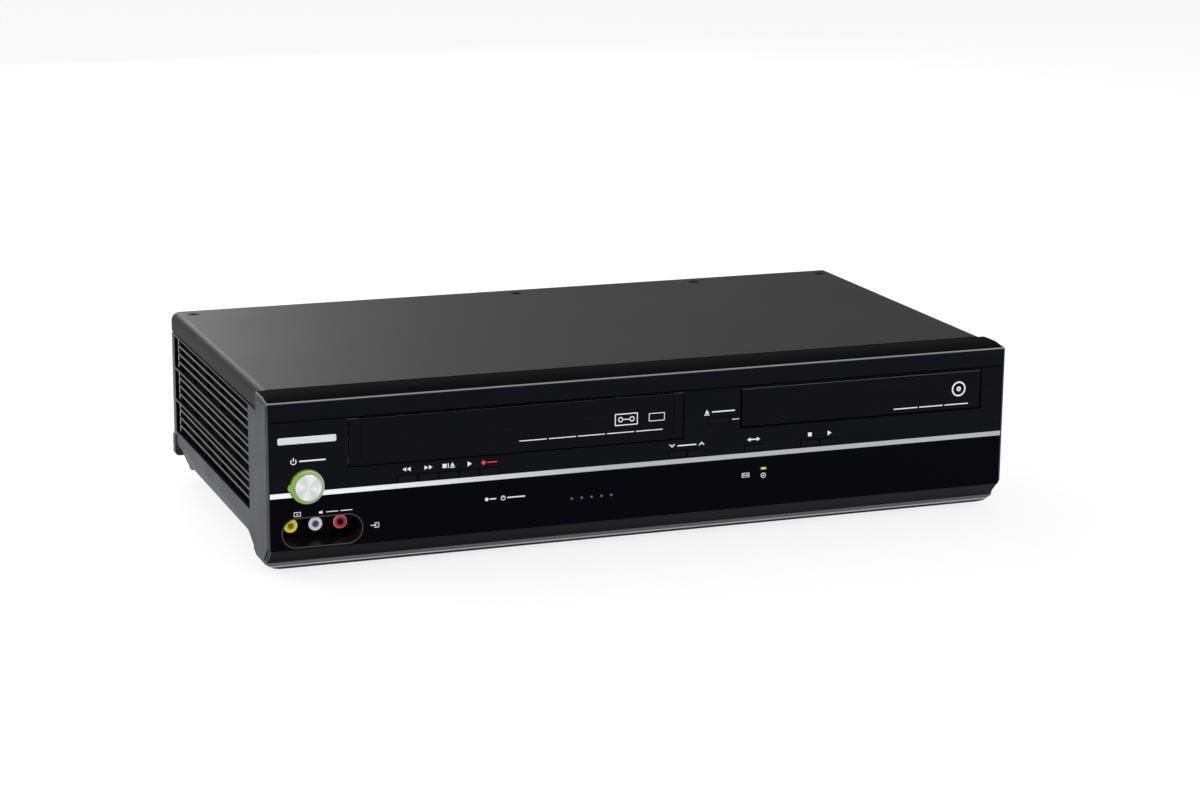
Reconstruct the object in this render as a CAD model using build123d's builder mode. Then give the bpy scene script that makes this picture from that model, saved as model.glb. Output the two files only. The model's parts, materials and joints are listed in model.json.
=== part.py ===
from build123d import *
import os
from math import acos, atan2, cos, degrees, pi, radians, sin, sqrt, tan

# DVD and VCR combination deck, in millimetres.
# X runs to the viewer's right, Y to the back and Z up. The origin is on the table, under the middle.

os.makedirs("parts", exist_ok=True)

# Media that the deck takes
cassette_width = 187.0
cassette_depth = 103.0
cassette_height = 25.0
disc_diameter = 120.0
small_disc_diameter = 80.0

# Widths across the front, from left to right
left_margin = 43.7
slot_side_room = 2.85
middle_width = 33.7
tray_front_width = 150.6
right_margin = 14.3
slot_width = cassette_width + 2 * slot_side_room
case_width = left_margin + slot_width + middle_width + tray_front_width + right_margin
half_width = case_width / 2
slot_x0 = -half_width + left_margin
slot_x1 = slot_x0 + slot_width
slot_mid = (slot_x0 + slot_x1) / 2
tray_x0 = slot_x1 + middle_width
tray_x1 = tray_x0 + tray_front_width
tray_mid = (tray_x0 + tray_x1) / 2

# Heights on the front, from the table up
chassis_z = 9.5
window_bottom = 16.8
window_height = 28.85
strip_height = 3.0
sill_band = 10.85
slot_top_room = 2.1
header_height = 10.0
cover_rise = 2.9
strip_z0 = window_bottom + window_height
strip_z1 = strip_z0 + strip_height
sill_z = strip_z1 + sill_band
slot_top = sill_z + cassette_height + slot_top_room
fascia_top = slot_top + header_height
case_height = fascia_top + cover_rise

# Depths, from the front to the back
front_space = 28.25
carriage_travel = 22.0
drum_gap = 12.0
drum_diameter = 62.0
rear_space = 7.25
case_depth = front_space + cassette_depth + carriage_travel + drum_gap + drum_diameter + rear_space
front_y = -case_depth / 2
rear_y = case_depth / 2
carriage_y0 = front_y + front_space
carriage_y1 = carriage_y0 + cassette_depth

# Walls and clearances
fascia_thickness = 2.6
carrier_thickness = 2.2
wall = 2.4
sheet = 0.8
seam = 0.3
panel_gap = 0.1
slide_gap = 0.2
turn_gap = 0.05
edge_rim = 0.8

# How far a cut runs past the faces that it cuts
over = 1.0
# How near an edge lies to a place where it is looked for
hair = 0.01

carrier_y0 = front_y + fascia_thickness
carrier_y1 = carrier_y0 + carrier_thickness


def save(builder, name):
    """Labels a finished piece and writes it."""
    builder.part.label = name
    export_step(builder.part, f"parts/{name}.step")


def at_y(y):
    """A plane that faces the viewer, at depth y. Its sketch axes are X and Z."""
    return Plane.XZ.offset(-y)


def block(x0, x1, y0, y1, z0, z1, mode=Mode.ADD):
    """A box between two corners."""
    with Locations(((x0 + x1) / 2, (y0 + y1) / 2, (z0 + z1) / 2)):
        Box(x1 - x0, y1 - y0, z1 - z0, mode=mode)


def post(x, y, z0, z1, radius, mode=Mode.ADD):
    """An upright cylinder."""
    with Locations((x, y, (z0 + z1) / 2)):
        Cylinder(radius, z1 - z0, mode=mode)


def rod(x, z, y0, y1, radius, mode=Mode.ADD):
    """A cylinder that lies along Y."""
    with Locations(Location((x, (y0 + y1) / 2, z), (90, 0, 0))):
        Cylinder(radius, y1 - y0, mode=mode)


def cross_pin(y, z, x0, x1, radius, mode=Mode.ADD):
    """A cylinder that lies along X."""
    with Locations(Location(((x0 + x1) / 2, y, z), (0, 90, 0))):
        Cylinder(radius, x1 - x0, mode=mode)


# Keys on the front. Each is a width, a height and the place of its lower left corner.
key_travel = 0.8
key_proud = 0.4
vcr_key_width = 10.8
vcr_key_height = 3.9
vcr_key_pitch = 11.6
vcr_key_start = 27.4
small_key_height = 3.5
small_key_lift = 0.75
tracking_key_width = 10.3
tracking_key_pitch = 11.3
tracking_key_start = 9.0
dvd_key_width = 11.1
dvd_key_pitch = 11.8
source_key_start = 2.9
dvd_key_start = 37.4
open_key_width = 12.7
open_key_height = 3.3
open_key_z = 18.15
open_key_inset = 6.2

key_row = strip_z1 + slide_gap
small_row = strip_z1 + small_key_lift
keys = {}
vcr_names = ["rewind_key", "forward_key", "stop_eject_key", "vcr_play_key", "record_key"]
for i, name in enumerate(vcr_names):
    keys[name] = (vcr_key_width, vcr_key_height, slot_x0 + vcr_key_start + i * vcr_key_pitch, key_row)
for i, name in enumerate(["tracking_down_key", "tracking_up_key"]):
    left = slot_x1 - tracking_key_start + i * tracking_key_pitch
    keys[name] = (tracking_key_width, small_key_height, left, small_row)
keys["source_key"] = (dvd_key_width, small_key_height, tray_x0 + source_key_start, small_row)
for i, name in enumerate(["dvd_stop_key", "dvd_play_key"]):
    left = tray_x0 + dvd_key_start + i * dvd_key_pitch
    keys[name] = (dvd_key_width, small_key_height, left, small_row)
open_key_left = tray_x0 - open_key_inset - open_key_width
keys["open_close_key"] = (open_key_width, open_key_height, open_key_left, strip_z1 + open_key_z)

# Power button and its ring
power_inset = 21.25
power_lift = 2.5
power_x = -half_width + power_inset
power_z = strip_z1 + power_lift
ring_radius = 9.4
ring_width = 2.0
ring_proud = 2.2
button_radius = ring_radius - ring_width - slide_gap
button_proud = 3.4
button_travel = 1.2

# Recess with the front jacks
recess_inset = 29.4
recess_rise = 9.2
recess_x = -half_width + recess_inset
recess_z = window_bottom + recess_rise
recess_length = 45.2
recess_height = 17.2
recess_depth = 22.0
recess_taper = 1.8
recess_wall = 1.2
rim_wall = 0.7
jack_pitch = 13.7
jack_radius = 4.15
jack_bore = 1.6
jack_bore_depth = 7.0
jack_face_depth = 14.5
front_jack_radius = 3.8

# VCR door
door_thickness = 1.6
door_gap = 0.7
pivot_depth = 1.25
pivot_drop = 1.0
pivot_radius = 0.7
pivot_length = 3.0
door_pivot_y = front_y + pivot_depth
door_pivot_z = slot_top - pivot_drop

# Disc tray front
tray_sill_rise = 3.3
tray_sill = sill_z + tray_sill_rise
tray_front_height = 23.5
tray_front_top = tray_sill + tray_front_height
tray_front_gap = 0.8


def cut_front(y0, y1, room):
    """Cuts the door, tray, key, button and lamp openings between two depths."""
    with BuildSketch(at_y(y1)) as openings:
        with Locations((slot_mid, (sill_z + slot_top) / 2)):
            Rectangle(slot_width + room, slot_top - sill_z + room)
        with Locations((tray_mid, (tray_sill + tray_front_top) / 2)):
            Rectangle(tray_front_width + room, tray_front_height + room)
        for width, height, left, low in keys.values():
            with Locations((left + width / 2, low + height / 2)):
                Rectangle(width + 2 * slide_gap, height + 2 * slide_gap)
    extrude(openings.sketch, amount=y1 - y0, mode=Mode.SUBTRACT)


def cut_ring_hole(y0, y1, radius):
    """Cuts a round hole at the power button."""
    rod(power_x, power_z, y0, y1, radius, mode=Mode.SUBTRACT)


def stadium(y, length, height):
    """A plane facing back at the jack recess, and its rounded outline."""
    plane = Plane(origin=(recess_x, y, recess_z), x_dir=(1, 0, 0), z_dir=(0, 1, 0))
    with BuildSketch(plane) as outline:
        SlotOverall(length, height)
    return outline.sketch


# Lamps in the window
lamp_width = 3.9
lamp_height = 1.8
lamp_inset = 14.85
lamp_rise = 21.9
lamp_x = tray_x0 + lamp_inset
lamp_z = window_bottom + lamp_rise
dot_radius = 0.85
dot_pitch = 5.8
dot_shift = 30.35
dot_rise = 14.5
dot_x = slot_mid + dot_shift
dot_z = window_bottom + dot_rise
dot_count = 5
dots = [dot_x + i * dot_pitch for i in range(dot_count)]


def cut_lamp_holes(y0, y1):
    """Cuts the holes for the lamp and the row of dots."""
    lamp_low = lamp_z - lamp_height / 2 - panel_gap
    lamp_high = lamp_z + lamp_height / 2 + panel_gap
    reach = lamp_width / 2 + panel_gap
    block(lamp_x - reach, lamp_x + reach, y0, y1, lamp_low, lamp_high, mode=Mode.SUBTRACT)
    for x in dots:
        rod(x, dot_z, y0, y1, dot_radius + panel_gap, mode=Mode.SUBTRACT)


# Side outline of the bezel, as depth and height
bezel_depth = 34.05
bezel_neck = 24.15
cover_side_height = 11.0
cover_flange_z = case_height - cover_side_height
chamfer_depth = 9.2
chamfer_drop = 8.8
chamfer_z = window_bottom - chamfer_drop
lip_z = 4.0
lip_floor = 3.0
lip_round = 0.9
bead_rise = 1.5
bead_z = lip_z + bead_rise
bead_size = 0.5
lip_end_run = 10.0
lip_end_rise = 3.6
heel_depth = 18.25
heel_rise = 1.6
slope_wall = 1.8
bezel_rear_z = chassis_z + seam
top_slope_depth = 11.25
top_corner_depth = 3.75
cap_thickness = 1.2
cap_rise = 0.3
cap_sink = 0.2
cap_top = case_height - cap_sink
bezel_top = cap_top - cap_rise
front_rim_height = 1.1
cap_seat_rise = 0.6
cap_lap = 1.0
bezel_front_top = fascia_top + front_rim_height
cap_floor_front = fascia_top + cap_seat_rise
corner_round = 0.6
corner_bevel = 1.5

bezel_outline = [
    (front_y, window_bottom),
    (front_y + chamfer_depth, chamfer_z),
    (front_y + chamfer_depth + bead_size, bead_z + bead_size),
    (front_y + chamfer_depth, bead_z),
    (front_y + chamfer_depth, lip_z + lip_round),
    (front_y + chamfer_depth + lip_round, lip_z),
    (front_y + heel_depth, lip_z),
    (front_y + bezel_neck - seam, lip_z + heel_rise),
    (front_y + bezel_depth, bezel_rear_z),
    (front_y + bezel_depth, cover_flange_z - seam),
    (front_y + bezel_neck, cover_flange_z - seam),
    (front_y + bezel_neck, bezel_top),
    (front_y + top_slope_depth, bezel_top),
    (front_y + top_corner_depth, bezel_front_top + cap_rise / 2),
    (front_y + corner_round, bezel_front_top),
    (front_y, bezel_front_top - corner_round),
]
hollow_top = bezel_top - cap_thickness - wall
bezel_hollow = [
    (carrier_y1, window_bottom - edge_rim),
    (front_y + chamfer_depth + slope_wall, chamfer_z + wall),
    (front_y + chamfer_depth + slope_wall, lip_z + lip_floor),
    (front_y + heel_depth, lip_z + lip_floor),
    (front_y + bezel_neck - edge_rim, lip_z + heel_rise + wall),
    (front_y + bezel_depth + over, bezel_rear_z + wall),
    (front_y + bezel_depth + over, hollow_top),
    (carrier_y1, hollow_top),
]
cap_seat = [
    (front_y + bezel_neck + over, bezel_top + over),
    (front_y + bezel_neck + over, bezel_top - cap_thickness),
    (front_y + top_slope_depth, bezel_top - cap_thickness),
    (front_y + top_corner_depth, cap_floor_front),
    (front_y + cap_lap, cap_floor_front),
    (front_y + cap_lap, bezel_top + over),
]


def side_profile(points, half_length):
    """Extrudes an outline of depth and height along X, both ways from the middle."""
    with BuildSketch(Plane.YZ.offset(-half_length)) as profile:
        with BuildLine():
            Polyline(points, close=True)
        make_face()
    return profile.sketch


inner_half = half_width - wall
pocket_half = half_width - edge_rim
carrier_room = 1.8
ring_seat = 1.35
band_groove = 0.4
band_groove_drop = 3.0
band_groove_start = 5.0
band_groove_z = bezel_top - band_groove_drop
rim_groove_inset = 1.6
rim_groove_width = 1.3
slope_angle = atan2(chamfer_depth, chamfer_drop)


def rim_line(inset):
    """Line on the side of the bezel that follows its front edge and its slope at an inset."""
    return [
        (front_y + inset, band_groove_z),
        (front_y + inset, window_bottom + inset * tan(slope_angle / 2)),
        (front_y + chamfer_depth + inset * cos(slope_angle), chamfer_z + inset * sin(slope_angle)),
    ]


with BuildPart() as front_bezel:
    extrude(side_profile(bezel_outline, half_width), amount=case_width)
    # the ends of the lower slope are bevelled
    corners = front_bezel.edges().filter_by(lambda e: abs(abs(e.center().X) - half_width) < hair)
    corners = corners.filter_by(lambda e: front_y < e.center().Y < front_y + chamfer_depth)
    chamfer(corners.filter_by(lambda e: chamfer_z < e.center().Z < window_bottom), corner_bevel)
    # the ends of the lip are rounded upward
    for side in (-1, 1):
        end_x = side * half_width
        with BuildSketch(at_y(front_y + bezel_depth + over)) as lip_end:
            with BuildLine():
                start = (end_x - side * lip_end_run, lip_z)
                rise = (end_x, lip_z + lip_end_rise)
                TangentArc(start, rise, tangent=(side, 0))
                beyond = end_x + side * over
                Polyline(rise, (beyond, lip_z + lip_end_rise), (beyond, lip_z - over), (start[0],
                         lip_z - over), start)
            make_face()
        extrude(lip_end.sketch, amount=bezel_depth + over, mode=Mode.SUBTRACT)
    extrude(side_profile(bezel_hollow, inner_half), amount=2 * inner_half, mode=Mode.SUBTRACT)
    extrude(side_profile(cap_seat, pocket_half), amount=2 * pocket_half, mode=Mode.SUBTRACT)
    # the shallow pocket that holds the fascia, the strip and the window
    block(-pocket_half, pocket_half, front_y - over, carrier_y0, window_bottom, fascia_top, Mode.SUBTRACT)
    cut_front(carrier_y0 - over, carrier_y1 + over, carrier_room)
    cut_ring_hole(carrier_y0 - over, carrier_y1 + over, ring_radius - ring_seat)
    cut_lamp_holes(carrier_y0 - over, carrier_y1 + over)
    recess_hole = stadium(carrier_y0 - over, recess_length + slide_gap, recess_height + slide_gap)
    extrude(recess_hole, amount=carrier_thickness + 2 * over, mode=Mode.SUBTRACT)
    # fine grooves along the top and the front of both side bands
    rim_groove = rim_line(rim_groove_inset) + rim_line(rim_groove_inset + rim_groove_width)[::-1]
    for side in (-1, 1):
        groove_x = side * half_width
        block(groove_x - band_groove, groove_x + band_groove, front_y + band_groove_start,
              front_y + bezel_neck,
              band_groove_z, band_groove_z + band_groove, Mode.SUBTRACT)
        with BuildSketch(Plane.YZ.offset(groove_x - band_groove)) as rim_sketch:
            with BuildLine():
                Polyline(rim_groove, close=True)
            make_face()
        extrude(rim_sketch.sketch, amount=2 * band_groove, mode=Mode.SUBTRACT)
save(front_bezel, "front_bezel")

# Gloss cap on top of the bezel
cap_outline = [
    (front_y + bezel_neck, cap_top),
    (front_y + bezel_neck, bezel_top - cap_thickness),
    (front_y + top_slope_depth, bezel_top - cap_thickness),
    (front_y + top_corner_depth, cap_floor_front),
    (front_y + cap_lap + panel_gap, cap_floor_front),
    (front_y + cap_lap + panel_gap, bezel_front_top + cap_rise),
    (front_y + top_corner_depth, bezel_front_top + 2 * cap_rise),
    (front_y + top_slope_depth, cap_top),
]
cap_half = pocket_half - panel_gap
with BuildPart() as top_trim:
    extrude(side_profile(cap_outline, cap_half), amount=2 * cap_half)
save(top_trim, "top_trim")

# Upper fascia with the door openings and the groove above them
groove_height = 0.6
groove_depth = 0.7
groove_rise = 0.2
fascia_round = 0.7
groove_z = slot_top + groove_rise
with BuildPart() as upper_fascia:
    block(-cap_half, cap_half, front_y, carrier_y0, strip_z1, fascia_top - panel_gap)
    front_edges = upper_fascia.edges().filter_by_position(Axis.Y, front_y - hair, front_y + hair)
    fillet(front_edges.filter_by(Axis.Z), fascia_round)
    cut_front(front_y - over, carrier_y0 + over, 0.0)
    cut_ring_hole(front_y - over, carrier_y0 + over, ring_radius + slide_gap)
    block(-half_width, half_width, front_y - over, front_y + groove_depth, groove_z,
          groove_z + groove_height, Mode.SUBTRACT)
    # blind holes for the door's pivot pins
    cross_pin(door_pivot_y, door_pivot_z, slot_x0 - pivot_length, slot_x1 + pivot_length,
              pivot_radius + turn_gap, Mode.SUBTRACT)
save(upper_fascia, "upper_fascia")

strip_proud = 0.15
lamp_proud = 0.1
with BuildPart() as silver_strip:
    block(-cap_half, cap_half, front_y - strip_proud, carrier_y0, strip_z0 + panel_gap / 2,
          strip_z1 - panel_gap / 2)
    cut_ring_hole(front_y - over, carrier_y0 + over, ring_radius + slide_gap)
save(silver_strip, "silver_strip")

with BuildPart() as display_window:
    block(-cap_half, cap_half, front_y, carrier_y0, window_bottom + panel_gap, strip_z0 - panel_gap / 2)
    cut_ring_hole(front_y - over, carrier_y0 + over, ring_radius + slide_gap)
    window_hole = stadium(front_y - over, recess_length, recess_height)
    extrude(window_hole, amount=fascia_thickness + 2 * over, mode=Mode.SUBTRACT)
    cut_lamp_holes(front_y - over, carrier_y0 + over)
save(display_window, "display_window")

# Tub behind the stadium hole, with a hole for each jack
tub_length = recess_length - 2 * panel_gap
tub_height = recess_height - 2 * panel_gap
jack_xs = [recess_x + i * jack_pitch for i in (-1, 0, 1)]
back_plate_y = front_y + recess_depth
jack_neck_radius = 3.2
tub_proud = 0.1
tub_y = front_y - tub_proud
with BuildPart() as jack_recess:
    extrude(stadium(tub_y, tub_length, tub_height), amount=recess_depth + recess_wall + tub_proud,
            taper=recess_taper)
    cavity = stadium(tub_y, tub_length - 2 * rim_wall, tub_height - 2 * rim_wall)
    extrude(cavity, amount=recess_depth + tub_proud, taper=recess_taper, mode=Mode.SUBTRACT)
    for x in jack_xs:
        rod(x, recess_z, back_plate_y - over, back_plate_y + recess_wall + over,
            jack_neck_radius + slide_gap, Mode.SUBTRACT)
save(jack_recess, "jack_recess")

# Front jacks: a collar in front of the back plate, and a body behind it
jack_body = 9.0
jack_body_depth = 9.0
jack_face_y = front_y + jack_face_depth
jack_bevel = 0.3
for x, name in zip(jack_xs, ["front_video_jack", "front_left_jack", "front_right_jack"]):
    with BuildPart() as jack:
        rod(x, recess_z, jack_face_y, back_plate_y - panel_gap, front_jack_radius)
        rod(x, recess_z, back_plate_y - over, back_plate_y + recess_wall + over, jack_neck_radius)
        body_y = back_plate_y + recess_wall + panel_gap
        half = jack_body / 2
        block(x - half, x + half, body_y, body_y + jack_body_depth, recess_z - half, recess_z + half)
        rod(x, recess_z, jack_face_y - over, jack_face_y + jack_bore_depth, jack_bore, Mode.SUBTRACT)
        face_edges = jack.edges().filter_by(GeomType.CIRCLE).filter_by_position(
            Axis.Y, jack_face_y - hair, jack_face_y + hair)
        chamfer(face_edges.sort_by(SortBy.RADIUS)[-1], jack_bevel)
    save(jack, name)

# VCR door: a thin flap that swings inward about pins at its top edge
door_groove_insets = (7.3, -6.4)
door_groove = 0.25
door_groove_end = 2.0
pin_root = 6.0
with BuildPart() as vcr_door:
    door_low = sill_z + door_gap
    door_high = slot_top - door_gap
    block(slot_x0 + door_gap, slot_x1 - door_gap, front_y, front_y + door_thickness, door_low, door_high)
    for edge, inset in zip((slot_x0, slot_x1), door_groove_insets):
        x = edge + inset
        block(x - door_groove, x + door_groove, front_y - over, front_y + door_groove,
              door_low + door_groove_end, door_high - door_groove_end, Mode.SUBTRACT)
    pin_reach = pivot_length - slide_gap
    cross_pin(door_pivot_y, door_pivot_z, slot_x0 - pin_reach, slot_x0 + pin_root, pivot_radius)
    cross_pin(door_pivot_y, door_pivot_z, slot_x1 - pin_root, slot_x1 + pin_reach, pivot_radius)
save(vcr_door, "vcr_door")

# Power button and its translucent ring
ring_round = 1.6
lobe_radius = 2.1
lobe_inset = 0.7
lobe_drop = 0.8
lobe_gap = 0.1
button_round = 0.5
button_stem = 2.5
with BuildPart() as power_ring:
    rod(power_x, power_z, front_y - ring_proud, carrier_y0, ring_radius)
    outer = power_ring.edges().filter_by(GeomType.CIRCLE).sort_by(Axis.Y)[0]
    fillet(outer, ring_round)
    # a lobe on the left holds the ring's lamp
    rod(power_x - ring_radius + lobe_inset, power_z, front_y - ring_proud + lobe_drop,
        front_y - strip_proud - lobe_gap, lobe_radius)
    rod(power_x, power_z, front_y - ring_proud - over, carrier_y0 + over, ring_radius - ring_width,
        Mode.SUBTRACT)
save(power_ring, "power_ring")

board_space = 10.25
board_front_y = carrier_y1 + board_space
switch_depth = 3.5
switch_size = 6.0
stem_end = board_front_y - switch_depth - key_travel - panel_gap
flange_y0 = carrier_y1 + panel_gap
flange_thickness = 1.2
with BuildPart() as power_button:
    rod(power_x, power_z, front_y - button_proud, flange_y0 + flange_thickness, button_radius)
    rod(power_x, power_z, flange_y0, flange_y0 + flange_thickness, ring_radius - seam)
    rod(power_x, power_z, flange_y0, stem_end - (button_travel - key_travel), button_stem)
    front_ring = power_button.edges().filter_by(GeomType.CIRCLE).sort_by(Axis.Y)[0]
    fillet(front_ring, button_round)
save(power_button, "power_button")

key_flange = 1.0
key_flange_side = 0.3
key_round = 0.25
stem_width = 3.0
stem_height = 2.8
for name, (width, height, left, low) in keys.items():
    mid_x = left + width / 2
    mid_z = low + height / 2
    with BuildPart() as key:
        key_face = front_y - key_proud
        block(left, left + width, key_face, flange_y0 + flange_thickness, low, low + height)
        fillet(key.edges().filter_by_position(Axis.Y, key_face - hair, key_face + hair), key_round)
        block(left - key_flange_side, left + width + key_flange_side, flange_y0,
              flange_y0 + flange_thickness,
              low - key_flange, low + height + key_flange)
        block(mid_x - stem_width / 2, mid_x + stem_width / 2, flange_y0, stem_end, mid_z - stem_height / 2,
              mid_z + stem_height / 2)
    save(key, name)

# Lamp lenses: light pipes from the board to the window's face
with BuildPart() as lamp_lenses:
    pipe_end = board_front_y - slide_gap
    block(lamp_x - lamp_width / 2, lamp_x + lamp_width / 2, front_y - lamp_proud, pipe_end,
          lamp_z - lamp_height / 2, lamp_z + lamp_height / 2)
    for x in dots:
        rod(x, dot_z, front_y - lamp_proud, pipe_end, dot_radius)
save(lamp_lenses, "lamp_lenses")

# Front board with its key switches, on four pillars of its own
board_thickness = 1.6
board_lift = 8.0
board_headroom = 2.5
board_margin = 11.5
board_step_room = 12.0
board_recess_room = 6.0
tab_rise = 6.0
tab_rooms = (5.0, 4.0)
pillar_radius = 2.5
pillar_inset = 6.0
high_pillar_inset = 45.0
board_low = window_bottom + board_lift
board_high = sill_z - board_headroom
board_left = power_x - board_margin
board_right = half_width - board_margin
board_step = recess_x + recess_length / 2 + board_step_room
board_step_z = recess_z + recess_height / 2 + board_recess_room
tab_left = slot_x1 + tab_rooms[0]
tab_right = tray_x0 - tab_rooms[1]
tab_top = strip_z1 + open_key_z + tab_rise
pillar_spots = [
    (board_step + pillar_inset, board_low + pillar_inset),
    (slot_x1, board_low + pillar_inset),
    (board_right - pillar_inset, board_low + pillar_inset),
    (board_right - high_pillar_inset, board_high - pillar_radius),
]
with BuildPart() as front_board:
    board_back_y = board_front_y + board_thickness
    block(board_step, board_right, board_front_y, board_back_y, board_low, board_high)
    block(board_left, board_step, board_front_y, board_back_y, board_step_z, board_high)
    block(tab_left, tab_right, board_front_y, board_back_y, board_high, tab_top)
    half = switch_size / 2
    for width, height, left, low in keys.values():
        mid_x = left + width / 2
        mid_z = low + height / 2
        block(mid_x - half, mid_x + half, board_front_y - switch_depth, board_front_y, mid_z - half,
              mid_z + half)
    block(power_x - half, power_x + half, board_front_y - switch_depth, board_front_y, power_z - half,
          power_z + half)
    for x, z in pillar_spots:
        rod(x, z, carrier_y1, board_front_y, pillar_radius)
save(front_board, "front_board")

# Side panels: an outer frame round a recess, with horizontal ribs across it and open slots between them
side_inset = 1.4
side_x = half_width - side_inset
side_panel_space = 2.0
rear_overhang = 2.2
side_panel_y0 = front_y + bezel_depth + side_panel_space
side_panel_y1 = rear_y + rear_overhang
panel_seam = 1.0
side_panel_top = cover_flange_z - panel_seam
side_slant = 11.0
side_slant_z = chassis_z + side_slant
side_foot_rise = 0.6
side_foot_z = chassis_z + side_foot_rise
side_foot_inset = 4.1
recess_front_frame = 11.3
recess_rear_frame = 6.7
recess_y0 = side_panel_y0 + recess_front_frame
recess_y1 = side_panel_y1 - recess_rear_frame
rib_pitch = 4.88
rib_height = 1.4
rib_count = 11
rib_inset = 1.2
rib_end_gap = 5.0
long_rib_step = 4
rib_rise = 7.4
rib_low_z = side_slant_z + rib_rise
rib_top_z = rib_low_z + (rib_count + 1) * rib_pitch
bar_count = 6
bar_width = 2.0
bar_depth = 1.4
bar_inset = 2.0
bar_lap = 3.0
tongue = 5.0
tongue_thickness = 1.2
tongue_inset = 2.0
corner_boss_depth = 6.0
corner_boss_proud = 0.9
corner_boss_width = 6.8
gusset_length = 30.0
gusset_drop = 1.4
gusset_z = chassis_z - gusset_drop
notch_length = 9.5
corner_boss_rise = 2.9
corner_boss_lap = 5.0
notch_height = 8.5
corner_boss_z = chassis_z + corner_boss_rise
corner_boss_top = side_slant_z + corner_boss_lap
notch_top = chassis_z + notch_height
boss_round = 2.4
notch_y1 = side_panel_y1 - corner_boss_depth
notch_y0 = notch_y1 - notch_length


def side_panel(side):
    """One side of the case: side is -1 for the left and 1 for the right."""
    outline = [
        (side * side_x, side_panel_top),
        (side * side_x, side_slant_z),
        (side * (side_x - side_foot_inset), side_foot_z),
        (side * (side_x - side_foot_inset - wall), side_foot_z),
        (side * (side_x - wall), side_slant_z + side_foot_rise),
        (side * (side_x - wall), side_panel_top),
    ]
    outer = side * side_x
    inner = side * (side_x - wall)
    with BuildPart() as panel:
        with BuildSketch(at_y(side_panel_y1)) as section:
            with BuildLine():
                Polyline(outline, close=True)
            make_face()
        extrude(section.sketch, amount=side_panel_y1 - side_panel_y0)
        low_x = min(outer, inner)
        high_x = max(outer, inner)
        block(low_x - over, high_x + over, recess_y0, recess_y1, rib_low_z, rib_top_z, Mode.SUBTRACT)
        for i in range(1, rib_count + 1):
            z = rib_low_z + i * rib_pitch
            long_rib = i % long_rib_step == 0
            face = outer if long_rib else side * (side_x - rib_inset)
            x0 = min(face, inner)
            x1 = max(face, inner)
            reach = 0 if long_rib else rib_end_gap
            block(x0, x1, recess_y0 + reach, recess_y1 - reach, z - rib_height / 2, z + rib_height / 2)
        # the slanted foot stops short of a square boss at the rear corner
        slant = side_foot_inset + over
        block(low_x - slant, high_x + slant, notch_y0, side_panel_y1 + over, side_foot_z - over, notch_top,
              Mode.SUBTRACT)
        boss_x0 = outer + side * corner_boss_proud
        boss_x1 = boss_x0 - side * corner_boss_width
        block(min(boss_x0, boss_x1), max(boss_x0, boss_x1), notch_y1, side_panel_y1, corner_boss_z,
              corner_boss_top)
        boss_edges = panel.edges().filter_by(Axis.Y).filter_by(lambda e: abs(e.center().X - boss_x0) < hair)
        fillet(boss_edges.sort_by(Axis.Z)[0], boss_round)
        # in front the wall comes down to meet the bezel's side band
        with BuildSketch(Plane.YZ.offset(low_x)) as gusset:
            with BuildLine():
                Polyline((side_panel_y0, side_slant_z + over), (side_panel_y0, gusset_z),
                         (side_panel_y0 + gusset_length, side_slant_z + over), close=True)
            make_face()
        extrude(gusset.sketch, amount=wall)
        # upright bars behind the ribs carry them
        bar_x0 = min(inner, inner - side * bar_depth)
        bar_x1 = max(inner, inner - side * bar_depth)
        first_bar = recess_y0 + rib_end_gap + bar_inset
        bar_step = (recess_y1 - recess_y0 - 2 * (rib_end_gap + bar_inset)) / (bar_count - 1)
        for i in range(bar_count):
            y = first_bar + i * bar_step
            block(bar_x0, bar_x1, y - bar_width / 2, y + bar_width / 2, rib_low_z - bar_lap,
                  rib_top_z + seam)
        # a tongue runs behind the bezel's side band
        tongue_x0 = min(inner, inner + side * tongue_thickness)
        tongue_x1 = max(inner, inner + side * tongue_thickness)
        block(tongue_x0, tongue_x1, side_panel_y0 - tongue, side_panel_y0 + over,
              side_slant_z + tongue_inset,
              side_panel_top - tongue_inset)
    return panel


for side, name in ((-1, "left_side_panel"), (1, "right_side_panel")):
    save(side_panel(side), name)

# Top cover: one sheet bent down at both sides, with dimples for its screws
cover_x = side_x
bend_radius = 5.0
cover_y0 = front_y + bezel_neck + slide_gap
cover_y1 = rear_y + rear_overhang
dimple_radius = 4.2
dimple_depth = 1.2
screw_hole = 1.9
screw_inset = 8.0
screw_side = 12.7
slot_screw_shift = 75.5
tray_screw_shift = 10.7
screw_y = rear_y - screw_inset
screw_xs = [-half_width + screw_side, slot_mid + slot_screw_shift, tray_mid - tray_screw_shift,
            half_width - screw_side]
dimple_floor = case_height - sheet - dimple_depth
with BuildPart() as top_cover:
    with BuildSketch(at_y(cover_y1)) as cover_section:
        with BuildLine():
            outer_path = FilletPolyline(
                (-cover_x, cover_flange_z), (-cover_x, case_height), (cover_x, case_height),
                (cover_x, cover_flange_z), radius=bend_radius)
            inner_x = cover_x - sheet
            inner_path = FilletPolyline(
                (inner_x, cover_flange_z), (inner_x, case_height - sheet), (-inner_x, case_height - sheet),
                (-inner_x, cover_flange_z), radius=bend_radius - sheet)
            Line(outer_path @ 1, inner_path @ 0)
            Line(inner_path @ 1, outer_path @ 0)
        make_face()
    extrude(cover_section.sketch, amount=cover_y1 - cover_y0)
    for x in screw_xs:
        post(x, screw_y, dimple_floor, case_height - sheet, dimple_radius)
        post(x, screw_y, dimple_floor + sheet, case_height + over, dimple_radius - sheet, Mode.SUBTRACT)
        post(x, screw_y, dimple_floor - over, case_height, screw_hole, Mode.SUBTRACT)
save(top_cover, "top_cover")

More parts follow.
